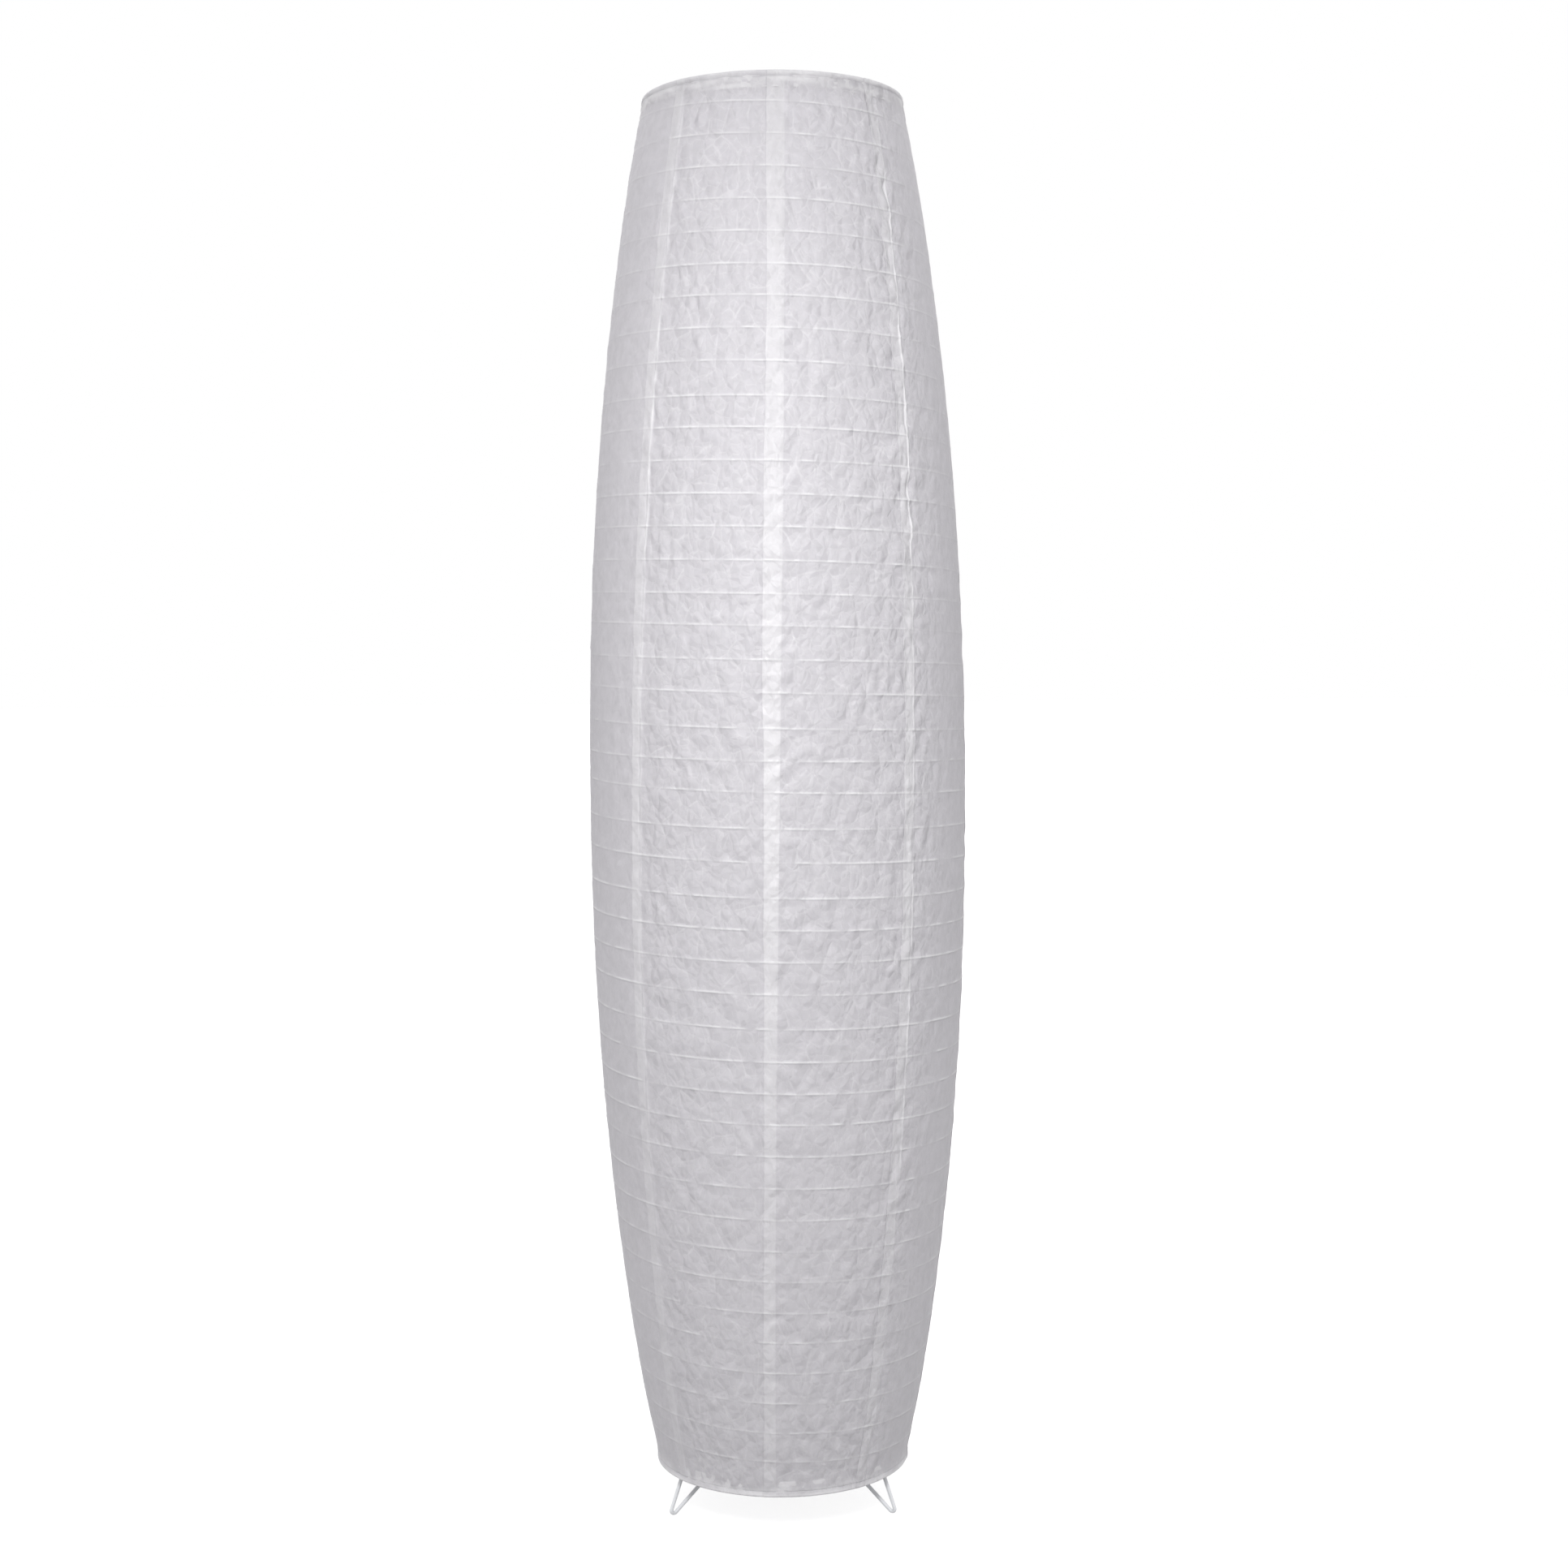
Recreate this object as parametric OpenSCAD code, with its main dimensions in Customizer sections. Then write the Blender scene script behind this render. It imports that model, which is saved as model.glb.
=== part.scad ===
// Paper lantern floor lamp: a barrel of paper on a helical wire, over three upright rods.
// Millimetres. +Z is up, the floor is z = 0, the lamp's axis is x = y = 0 and its front faces -Y.

/* [Shade] */
// Height of the lamp, floor to top rim
lamp_h = 1250; // [1000:10:1500]
// Height of the shade's bottom edge above the floor
bottom_z = 36; // [30:1:45]
// Height of the widest place above the floor
belly_z = 640; // [450:10:800]
// Diameter over the laps at the widest place
belly_d = 336; // [270:1:410]
// Diameter over the laps at the top rim
top_d = 231; // [222:1:290]
// Diameter over the laps at the bottom rim
bottom_d = 229; // [220:1:280]
// How the side curves between belly and rims (2 is a parabola)
side_power = 2.15; // [1.5:0.05:3]
// Thickness of the paper with its glue
paper_t = 0.5; // [0.4:0.1:0.8]
// Width of the lap between two panels, at the belly
lap_w = 14; // [8:1:22]
// Turn of the front seam from the lamp's front, in degrees
seam_turn = 0.8; // [-3:0.1:3]

/* [Rib wire and rims] */
// Diameter of the rib wire
rib_d = 1.2; // [1:0.1:1.6]
// Turns of the rib wire between the rims
rib_turns = 42.75; // [30:0.25:46]
// Distance of the rib wire's two ends from the rims
rib_end = 19.5; // [18:0.5:30]
// Turn of the rib wire's upper end back from the front seam, in degrees
rib_back = 90; // [0:15:180]
// Diameter of the hoops' wire
hoop_d = 3; // [2.5:0.1:4]
// Thickness of the paper tape folded round a hoop
hem_t = 0.4; // [0.3:0.1:0.5]
// Height of the folded hem
hem_h = 14; // [8:1:16]

/* [Spider] */
// Diameter of the spider's wire
arm_d = 3; // [2.5:0.1:4]
// Radius of the ring in the middle, to the wire's centre
spider_r = 18; // [12:1:30]
// Outer diameter of the cups that sit on the rods
cup_d = 12; // [10.5:0.5:14]
// Depth of a cup's pocket
cup_depth = 12; // [8:1:16]

/* [Uprights] */
// Outer diameter of the rods
rod_d = 6; // [5:0.1:7]
// Bore of the rods
rod_bore = 4; // [3.8:0.1:4.4]
// Outer diameter of the sleeves that join the rods
ferrule_d = 8; // [7.6:0.1:9.5]
// Length of a sleeve
ferrule_h = 30; // [20:1:45]
// Clear way between the rods' sleeves and the bottom rim, as the shade lifts off
lift_gap = 6; // [3:0.5:12]

/* [Base] */
// Diameter of the legs' wire
leg_d = 3.5; // [3:0.1:3.7]
// Bend radius of the foot, to the wire's centre
foot_bend = 2.6; // [2.4:0.1:5]
// How far the feet stand outside the rods
foot_out = 12.9; // [8:0.1:25]
// Depth of the flat worn under each foot
foot_flat = 0.4; // [0.2:0.1:0.6]
// Bend radius of the leg under the holder plate, to the wire's centre
knee_bend = 6; // [4:0.5:10]
// Bend radius of the leg at its shoulder, to the wire's centre
shoulder_bend = 8; // [4:0.5:12]
// Height at which a leg bends upright
shoulder_z = 45; // [43:1:70]
// Length of a leg inside its rod
stub_h = 54; // [30:1:90]
// Diameter of the base ring's wire
ring_d = 4; // [3:0.1:5]
// Underside of the holder plate above the floor
plate_z = 68; // [62:1:110]
// Diameter of the holder plate
plate_d = 60; // [52:1:76]
// Thickness of the holder plate
plate_t = 1.5; // [1:0.1:2.5]
// Height of the plate's turned-up rim
plate_rim = 5; // [3:0.5:8]

/* [Lamp holder] */
// Outer diameter of the threaded pipe
nipple_d = 10; // [10]
// Bore of the threaded pipe and of the cord gland
cord_bore = 7; // [5.5:0.5:7.5]
// Height of the cord gland
gland_h = 20; // [16:1:26]
// Outer diameter of the holder
holder_d = 38; // [36:1:44]
// Wall of the holder
holder_wall = 2; // [1.5:0.1:2.4]
// Height of the holder's upper half
holder_h = 33; // [30:1:38]
// Height of the insert that carries the contacts
insert_h = 8; // [6:1:10]

/* [Bulb] */
// Diameter of the bulb's screw cap
cap_d = 26.4; // [26.4]
// Diameter of the bulb's globe
globe_d = 60; // [45:1:80]
// Height of the housing between the cap and the globe
housing_h = 40; // [34:1:50]

/* [Fits] */
// Gap at every weld, glue line and seat
seat = 0.1; // [0.05:0.01:0.15]
// Gap between a hem and the panels it lies against
hem_gap = 0.3; // [0.2:0.05:0.5]
// Radial gap between the rod tips and the cups
cup_gap = 0.5; // [0.3:0.1:0.8]
// Gap between the rib wire and the paper
rib_gap = 0.6; // [0.5:0.1:1]
// Radial gap between the bulb's cap and the threaded sleeve
cap_gap = 0.3; // [0.2:0.05:0.4]
// Gap between pieces that move apart, where they rest on each other
rest_gap = 0.3; // [0.2:0.05:0.4]

/* [Hidden] */
$fn = 64;
SIDES = ["front_left", "front_right", "rear"];
AZIMUTHS = [210, 330, 90];
SECTIONS = ["lower", "middle", "upper"];
PANELS = 8;

// Paper: how far a lap stands out, and the radii under the laps
lap_rise = paper_t + seat;
belly_r = belly_d / 2 - lap_rise;
top_r = top_d / 2 - lap_rise;
bottom_r = bottom_d / 2 - lap_rise;

// Radius of the panels' outer face at a height
function side_r(z) = z > belly_z
    ? belly_r - (belly_r - top_r) * pow((z - belly_z) / (lamp_h - belly_z), side_power)
    : belly_r - (belly_r - bottom_r) * pow((belly_z - z) / (belly_z - bottom_z), side_power);

// Panels: points up the side, smoothness round the axis, and the turn of each edge in degrees
stations = 24;
paper_fn = 360;
panel_deg = 360 / PANELS;
lap_deg = lap_w / belly_r * 180 / PI;
joggle_deg = 0.6;
butt_deg = 0.06;
seam_deg = 270 + seam_turn;

// Rims: the hoop lies in its hem, and the hem against the paper's inside
hem_r = hoop_d / 2 + seat + hem_t;
top_hoop_r = top_r - paper_t - hem_gap - hem_r;
top_hoop_z = lamp_h - hem_r;
bottom_hoop_r = bottom_r - paper_t - hem_gap - hem_r;
bottom_hoop_z = bottom_z + hem_r;

// Rib wire: a helix just inside the paper, falling anticlockwise seen from above
rib_steps = 24;
rib_sides = 4;
rib_top = lamp_h - rib_end;
rib_low = bottom_z + rib_end;
function rib_z(i) = rib_top - (rib_top - rib_low) * i / (rib_turns * rib_steps);
function rib_r(i) = side_r(rib_z(i)) - paper_t - rib_gap - rib_d / 2;
function rib_deg(i) = seam_deg - rib_back + 360 * i / rib_steps;
function rib_axis(i) = [rib_r(i) * cos(rib_deg(i)), rib_r(i) * sin(rib_deg(i)), rib_z(i)];
function rib_point(i, k) = let (a = 360 * k / rib_sides)
    rib_axis(i) + rib_d / 2 * [cos(a) * cos(rib_deg(i)), cos(a) * sin(rib_deg(i)), sin(a)];

// Uprights: they stand where the bottom rim clears their sleeves
rod_r = bottom_hoop_r - hem_r - lift_gap - ferrule_d / 2;
foot_r = rod_r + foot_out;
base_ring_r = rod_r - leg_d / 2 - seat - ring_d / 2;
base_ring_z = shoulder_z + ring_d;
rod_low = base_ring_z + ring_d / 2 + seat;

// Spider: arms under the top hoop, and cups clipped to the arms
arm_z = top_hoop_z - hoop_d / 2 - seat - arm_d / 2;
arm_in = spider_r + arm_d / 2 + seat;
arm_out = top_hoop_r + hoop_d / 2;
cup_roof = 1.5;
cup_ceiling = arm_z - arm_d / 2 - cup_roof;
cup_lip = 1;
tip_z = cup_ceiling - rest_gap - rod_d / 2;
rod_section = (tip_z - seat - rod_low - 2 * seat) / 3;
function rod_z(n) = rod_low + n * (rod_section + seat);
tip_shank = 12;

// Lamp holder, from the plate upwards
weld_z = plate_z - seat - leg_d / 2;
spoke_in = nipple_d / 2 + 8;
knee_r = plate_d / 2 + 2;
stub_top = rod_low + stub_h;
nut_flats = nipple_d + 4;
nut_h = 3;
nut_z = plate_z - seat - nut_h;
washer_z = plate_z + plate_t + seat;
washer_t = 1;
gland_z = nut_z - seat - gland_h;
gland_d = nipple_d + 6;
gland_grip = 8;
gland_round = 3;
neck_z = washer_z + washer_t + seat;
neck_d = nipple_d + 8;
neck_h = 7;
cap_ball_z = neck_z + holder_d / 2;
cap_skirt = 6;
cap_top = cap_ball_z + cap_skirt;
ledge_w = 2;
insert_z = cap_top - insert_h / 2;
insert_top = insert_z + insert_h;
screw_x = 10;
screw_hole = 3.6;
sleeve_r = cap_d / 2 + cap_gap;
sleeve_t = 0.6;
body_z = cap_top + seat;
body_top = body_z + holder_h;
lip_t = 2;
sleeve_z = insert_top + seat;
sleeve_top = body_top - lip_t - seat;
contact_t = 0.6;
contact_rise = 2;
contact_top = insert_top + seat + contact_t + contact_rise;

// Bulb, from its contact upwards
bulb_z = contact_top + rest_gap;
tip_h = 2;
tip_r = 4.5;
tip_round = 1;
insulator_z = bulb_z + tip_h + seat;
insulator_h = 4;
insulator_r = 6.5;
screw_z = insulator_z + insulator_h + seat;
screw_top = body_top + 3;
screw_cone_h = 3;
screw_cone_in = 2.4;
housing_z = screw_top + seat;
dome_z = housing_z + housing_h + seat;
dome_cut = globe_d / 6;
globe_z = dome_z + dome_cut;
dome_r = sqrt(pow(globe_d / 2, 2) - pow(dome_cut, 2));
diffuser_t = 1.5;

// Colours, as the photograph shows them or as such parts usually are
paper_white = "#E9E8EC";
coat_white = "#E4E4E6";
steel = "#B9BABD";
thermoset = "#F0F0EE";
porcelain = "#F2F1EC";
nylon = "#EDEDEF";
brass = "#C9A95B";
glass_black = "#2B2B2E";
opal = "#F4F3EE";

// Bent wire: sides round it, and degrees of a bend from one ring of points to the next
wire_sides = 16;
bend_step = 15;

// A bend of a wire in the plane (radius, height), as points with the wire's heading at each
function along(a) = [cos(a), sin(a)];
function left_of(a) = [-sin(a), cos(a)];
function bend(centre, r, from, to) = let (n = ceil(abs(to - from) / bend_step), side = sign(to - from))
    [for (i = [0:n]) let (a = from + (to - from) * i / n) [centre - side * r * left_of(a), a]];

// The bend that rounds the corner p between two headings
function corner(p, r, from, to) = let (side = sign(to - from), cut = r * tan(abs(to - from) / 2))
    bend(p - cut * along(from) + side * r * left_of(from), r, from, to);

// Headings of the straight runs that touch a bend's round: from a point down to it, and up from it to a point
function dive_to(from, centre, r) =
    -atan2(from.y - centre.y, centre.x - from.x) - asin(r / norm(from - centre));
function rise_to(to, centre, r) =
    90 + atan2(centre.x - to.x, to.y - centre.y) + asin(r / norm(to - centre));

// Round wire along such a path: one closed tube
module swept_wire(path, d) {
    n = len(path);
    points = [for (p = path, k = [0:wire_sides - 1])
        let (t = 360 * k / wire_sides, off = d / 2 * cos(t) * left_of(p[1]))
        [p[0].x + off.x, d / 2 * sin(t), p[0].y + off.y]];
    walls = [for (i = [0:n - 2], k = [0:wire_sides - 1])
        let (a = i * wire_sides + k, b = i * wire_sides + (k + 1) % wire_sides)
        each [[a, b, a + wire_sides], [b, b + wire_sides, a + wire_sides]]];
    foot = [for (k = [wire_sides - 1:-1:0]) k];
    head = [for (k = [0:wire_sides - 1]) (n - 1) * wire_sides + k];
    polyhedron(points, concat(walls, [foot, head]));
}

module wire_ring(r, d) {
    rotate_extrude() translate([r, 0]) circle(d = d);
}

module tube(d, bore, h) {
    difference() {
        cylinder(h = h, d = d);
        translate([0, 0, -1]) cylinder(h = h + 2, d = bore);
    }
}

// At the three uprights
module at_rod(k) {
    rotate([0, 0, AZIMUTHS[k]]) children();
}

module at_all_rods() {
    for (k = [0:len(AZIMUTHS) - 1]) at_rod(k) translate([rod_r, 0, 0]) children();
}

// Leg: spoke under the plate, down to the foot's V, up and in to the shoulder, then the stub
module leg(k) {
    knee = [knee_r, weld_z];
    shoulder = [rod_r, shoulder_z];
    foot = [foot_r, foot_bend + leg_d / 2 - foot_flat];
    dive = dive_to(knee, foot, foot_bend);
    rise = rise_to(shoulder, foot, foot_bend);
    path = concat(
        [[[spoke_in, weld_z], 0]],
        corner(knee, knee_bend, 0, dive),
        bend(foot, foot_bend, dive, rise),
        corner(shoulder, shoulder_bend, rise, 90),
        [[[rod_r, stub_top], 90]]
    );
    color(coat_white)
    at_rod(k)
    difference() {
        swept_wire(path, leg_d);
        translate([foot_r - foot_out, -leg_d, -leg_d]) cube([2 * foot_out, 2 * leg_d, leg_d]);
    }
}

module base_ring() {
    color(coat_white) translate([0, 0, base_ring_z]) wire_ring(base_ring_r, ring_d);
}

// Plate: a shallow pressed tray with a hole for the threaded pipe
module holder_plate() {
    color(coat_white)
    translate([0, 0, plate_z])
    difference() {
        cylinder(h = plate_rim, d = plate_d);
        translate([0, 0, plate_t]) cylinder(h = plate_rim, d = plate_d - 2 * plate_t);
        translate([0, 0, -1]) cylinder(h = plate_t + 2, d = nipple_d + 4 * seat);
    }
}

module rod(k, n) {
    color(coat_white)
    at_rod(k)
    translate([rod_r, 0, rod_z(n)])
    tube(rod_d, rod_bore, rod_section);
}

// Sleeves over the joint above length n
module ferrules(n) {
    color(coat_white)
    at_all_rods()
    translate([0, 0, rod_z(n + 1) - seat / 2 - ferrule_h / 2])
    tube(ferrule_d, rod_d + 2 * seat, ferrule_h);
}

module rod_tips() {
    color(coat_white)
    at_all_rods()
    translate([0, 0, tip_z]) {
        intersection() {
            sphere(d = rod_d);
            cylinder(h = rod_d, d = 2 * rod_d);
        }
        translate([0, 0, -tip_shank]) cylinder(h = tip_shank, d = rod_bore - 2 * seat);
    }
}

module nipple() {
    color(steel)
    translate([0, 0, gland_z + gland_h - gland_grip])
    tube(nipple_d, cord_bore, neck_z + neck_h - gland_z - gland_h + gland_grip);
}

module nipple_nut() {
    color(steel)
    translate([0, 0, nut_z])
    difference() {
        cylinder(h = nut_h, d = nut_flats / cos(30), $fn = 6);
        translate([0, 0, -1]) cylinder(h = nut_h + 2, d = nipple_d + 2 * seat);
    }
}

module nipple_washer() {
    color(steel)
    translate([0, 0, washer_z])
    tube(nipple_d * 2, nipple_d + 4 * seat, washer_t);
}

// Gland: rounded mouth, bore for the cord and a wider pocket for the pipe
module cord_gland() {
    color(nylon)
    translate([0, 0, gland_z])
    difference() {
        rotate_extrude() {
            translate([0, gland_round]) square([gland_d / 2, gland_h - gland_round]);
            square([gland_d / 2 - gland_round, gland_round]);
            translate([gland_d / 2 - gland_round, gland_round]) circle(r = gland_round);
        }
        translate([0, 0, -1]) cylinder(h = gland_h, d = cord_bore);
        translate([0, 0, gland_h - gland_grip - seat])
            cylinder(h = gland_grip + 1, d = nipple_d + 2 * seat);
    }
}

// Holder cap: a half ball on a threaded neck, with a ledge for the insert
module holder_cap() {
    inner_r = holder_d / 2 - holder_wall;
    color(thermoset)
    difference() {
        union() {
            translate([0, 0, cap_ball_z]) rotate_extrude() intersection() {
                circle(d = holder_d);
                translate([0, -holder_d / 2]) square([holder_d / 2, holder_d / 2]);
            }
            translate([0, 0, cap_ball_z]) cylinder(h = cap_top - cap_ball_z, d = holder_d);
            translate([0, 0, neck_z]) cylinder(h = neck_h, d = neck_d);
        }
        translate([0, 0, cap_ball_z]) rotate_extrude() intersection() {
            circle(r = inner_r - ledge_w);
            translate([0, neck_z + neck_h - cap_ball_z]) square(inner_r);
        }
        translate([0, 0, insert_z - seat]) cylinder(h = insert_h, r = inner_r);
        translate([0, 0, neck_z - 1]) cylinder(h = neck_h + 2, d = nipple_d + 2 * seat);
    }
}

module holder_insert() {
    color(porcelain)
    translate([0, 0, insert_z])
    difference() {
        cylinder(h = insert_h, r = holder_d / 2 - holder_wall - seat);
        for (x = [-screw_x, screw_x])
            translate([x, 0, -1]) cylinder(h = insert_h + 2, d = screw_hole);
    }
}

module terminal_screws() {
    head_d = 6;
    head_h = 2.4;
    slot_w = 0.8;
    slot_depth = 1;
    color(steel)
    for (x = [-screw_x, screw_x])
        translate([x, 0, insert_z - seat - head_h])
        difference() {
            union() {
                cylinder(h = head_h, d = head_d);
                cylinder(h = head_h + insert_h, d = screw_hole - 2 * seat);
            }
            translate([-head_d, -slot_w / 2, -slot_depth]) cube([2 * head_d, slot_w, 2 * slot_depth]);
        }
}

// Centre contact: a brass leaf whose middle rises under the bulb
module centre_contact() {
    leaf_w = 6;
    leaf_end = sleeve_r - 3;
    foot_w = 5;
    pad_from = -2;
    pad_to = 4;
    slant = 0.3;
    color(brass)
    translate([0, leaf_w / 2, insert_top + seat])
    rotate([90, 0, 0])
    linear_extrude(leaf_w)
    polygon([
        [-leaf_end, 0], [-leaf_end + foot_w, 0], [pad_from, contact_rise], [pad_to, contact_rise],
        [pad_to, contact_rise + contact_t], [pad_from - slant, contact_rise + contact_t],
        [-leaf_end + foot_w - slant, contact_t], [-leaf_end, contact_t]
    ]);
}

// Side contact: a brass angle against the outside of the sleeve
module side_contact() {
    tab_w = 5;
    tab_h = 9;
    foot_w = 2;
    color(brass)
    translate([sleeve_r + sleeve_t + seat, -tab_w / 2, insert_top + seat]) {
        cube([contact_t, tab_w, tab_h]);
        cube([foot_w, tab_w, contact_t]);
    }
}

module thread_sleeve() {
    color(brass)
    translate([0, 0, sleeve_z])
    tube(2 * (sleeve_r + sleeve_t), 2 * sleeve_r, sleeve_top - sleeve_z);
}

module holder_body() {
    color(thermoset)
    translate([0, 0, body_z])
    difference() {
        cylinder(h = holder_h, d = holder_d);
        translate([0, 0, -1])
            cylinder(h = holder_h - lip_t + 1, d = holder_d - 2 * holder_wall);
        cylinder(h = holder_h + 1, r = sleeve_r + seat);
    }
}

module bulb_contact() {
    color(steel) translate([0, 0, bulb_z]) cylinder(h = tip_h, r1 = tip_r - tip_round, r2 = tip_r);
}

module bulb_insulator() {
    color(glass_black)
    translate([0, 0, insulator_z])
    cylinder(h = insulator_h, r1 = insulator_r, r2 = cap_d / 2 - screw_cone_in);
}

module bulb_cap() {
    color(steel)
    translate([0, 0, screw_z]) {
        cylinder(h = screw_cone_h, r1 = cap_d / 2 - screw_cone_in, r2 = cap_d / 2);
        translate([0, 0, screw_cone_h]) cylinder(h = screw_top - screw_z - screw_cone_h, d = cap_d);
    }
}

// Housing: flares from the cap to the diffuser in a smooth swell
module bulb_housing() {
    steps = 12;
    swell = 2;
    foot = cap_d / 2 + 0.6;
    color(coat_white)
    translate([0, 0, housing_z])
    rotate_extrude()
    polygon(concat(
        [[0, 0]],
        [for (i = [0:steps]) let (t = i / steps)
            [foot + (dome_r - foot) * (1 - cos(180 * t)) / 2 + swell * sin(180 * t), housing_h * t]],
        [[0, housing_h]]
    ));
}

module bulb_diffuser() {
    color(opal)
    translate([0, 0, globe_z])
    rotate_extrude()
    intersection() {
        difference() {
            circle(d = globe_d);
            circle(d = globe_d - 2 * diffuser_t);
        }
        translate([0, -dome_cut]) square([globe_d, globe_d]);
    }
}

// Line of the paper at an offset from the panels' outer face, from rim to rim
function paper_line(offset) = [for (i = [0:stations])
    let (z = bottom_z + (lamp_h - bottom_z) * i / stations) [side_r(z) + offset, z]];

// The same line carried straight on past both rims
function long_line(offset) = let (line = paper_line(offset), n = stations) concat(
    [2 * line[0] - line[1]],
    [for (i = [1:n - 1]) line[i]],
    [2 * line[n] - line[n - 1]]
);
function reversed(list) = [for (i = [len(list) - 1:-1:0]) list[i]];

module sheet_sector(from, sweep, outer_line, inner_line) {
    rotate([0, 0, from])
    rotate_extrude(angle = sweep, $fn = paper_fn)
    polygon(concat(outer_line, reversed(inner_line)));
}

// Panel: a gore whose left edge steps out and laps over its neighbour.
// It is cut from one thick sheet, outside beyond the joggle and inside under the lap.
module paper_panel(i) {
    start = seam_deg + panel_deg * (i - 1);
    spare = 1;
    color(paper_white)
    difference() {
        sheet_sector(start - lap_deg, lap_deg + panel_deg - butt_deg,
            paper_line(lap_rise), paper_line(-paper_t));
        sheet_sector(start + joggle_deg, panel_deg, long_line(lap_rise + spare), long_line(0));
        sheet_sector(start - lap_deg - spare, lap_deg + spare,
            long_line(seat), long_line(-paper_t - spare));
    }
}

// One unbroken tube: rings of points, walls between them and a cap on each end
module rib_wire() {
    rings = rib_turns * rib_steps;
    points = [for (i = [0:rings], k = [0:rib_sides - 1]) rib_point(i, k)];
    walls = [for (i = [0:rings - 1], k = [0:rib_sides - 1])
        let (a = i * rib_sides + k, b = i * rib_sides + (k + 1) % rib_sides)
        each [[a, a + rib_sides, b], [b, a + rib_sides, b + rib_sides]]];
    end = rings * rib_sides;
    caps = [[0, 1, 2], [0, 2, 3], [end, end + 2, end + 1], [end, end + 3, end + 2]];
    color(steel) polyhedron(points, concat(walls, caps));
}

// Least gap between neighbouring turns of the rib wire, measured on its points
rib_self_gap = min([
    for (i = [0:rib_steps:(rib_turns - 1) * rib_steps - 2], j = [-2:2])
    norm(rib_axis(i) - rib_axis(i + rib_steps + j))
]) - rib_d;
echo(str("rib wire: least gap to itself ", rib_self_gap, " mm"));

module hoop(r, z) {
    color(steel) translate([0, 0, z]) wire_ring(r, hoop_d);
}

// Hem: paper folded over the hoop, its outer leg along the panels; up is 1 at the top rim
module hem(r, z, up) {
    tail = z - up * (hem_h - hem_r);
    leg_r = side_r(tail) - paper_t - hem_gap;
    turn_r = hem_r - hem_t;
    rotate_extrude()
    polygon(concat(
        [[leg_r, tail]],
        [for (a = [0:15:180]) [r + hem_r * cos(a), z + up * hem_r * sin(a)]],
        [[r - hem_r, tail], [r - turn_r, tail]],
        [for (a = [180:-15:0]) [r + turn_r * cos(a), z + up * turn_r * sin(a)]],
        [[leg_r - hem_t, tail]]
    ));
}

// Top hem: slit where the spider's arms come through to the hoop
module top_hem() {
    color(paper_white)
    difference() {
        hem(top_hoop_r, top_hoop_z, 1);
        for (k = [0:len(AZIMUTHS) - 1])
            at_rod(k)
            translate([top_hoop_r - 10, -arm_d / 2 - 1, lamp_h - 2 * hem_h])
            cube([10, arm_d + 2, arm_z + arm_d / 2 + 2 * seat - lamp_h + 2 * hem_h]);
    }
}

module bottom_hem() {
    color(paper_white) hem(bottom_hoop_r, bottom_hoop_z, -1);
}

module spider_ring() {
    color(steel) translate([0, 0, arm_z]) wire_ring(spider_r, arm_d);
}

module spider_arm(k) {
    color(steel)
    at_rod(k)
    translate([arm_in, 0, arm_z])
    rotate([0, 90, 0])
    cylinder(h = arm_out - arm_in, d = arm_d);
}

// Cups: a pocket for the rod's tip below, and a snap channel for the arm above
module rod_cups() {
    top = arm_z + arm_d / 2 + cup_lip;
    low = cup_ceiling - cup_depth;
    channel = arm_d + 2 * seat;
    color(nylon)
    at_all_rods()
    difference() {
        translate([0, 0, low]) cylinder(h = top - low, d = cup_d);
        translate([0, 0, low - 1]) cylinder(h = cup_depth + 1, d = rod_d + 2 * cup_gap);
        translate([-cup_d, 0, arm_z]) rotate([0, 90, 0]) cylinder(h = 2 * cup_d, d = channel);
        translate([-cup_d, -channel * 0.4, arm_z]) cube([2 * cup_d, channel * 0.8, arm_d + cup_lip]);
    }
}

for (k = [0:len(SIDES) - 1]) {
    leg(k);
    spider_arm(k);
    for (n = [0:len(SECTIONS) - 1])
        rod(k, n);
}
for (i = [1:PANELS])
    paper_panel(i);
base_ring();
holder_plate();
ferrules(0);  // lower_ferrules
ferrules(1);  // upper_ferrules
rod_tips();
cord_gland();
nipple();
nipple_nut();
nipple_washer();
holder_cap();
holder_insert();
terminal_screws();
centre_contact();
side_contact();
thread_sleeve();
holder_body();
bulb_contact();
bulb_insulator();
bulb_cap();
bulb_housing();
bulb_diffuser();
rib_wire();
hoop(top_hoop_r, top_hoop_z);  // top_hoop
top_hem();
spider_ring();
rod_cups();
hoop(bottom_hoop_r, bottom_hoop_z);  // bottom_hoop
bottom_hem();
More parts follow.
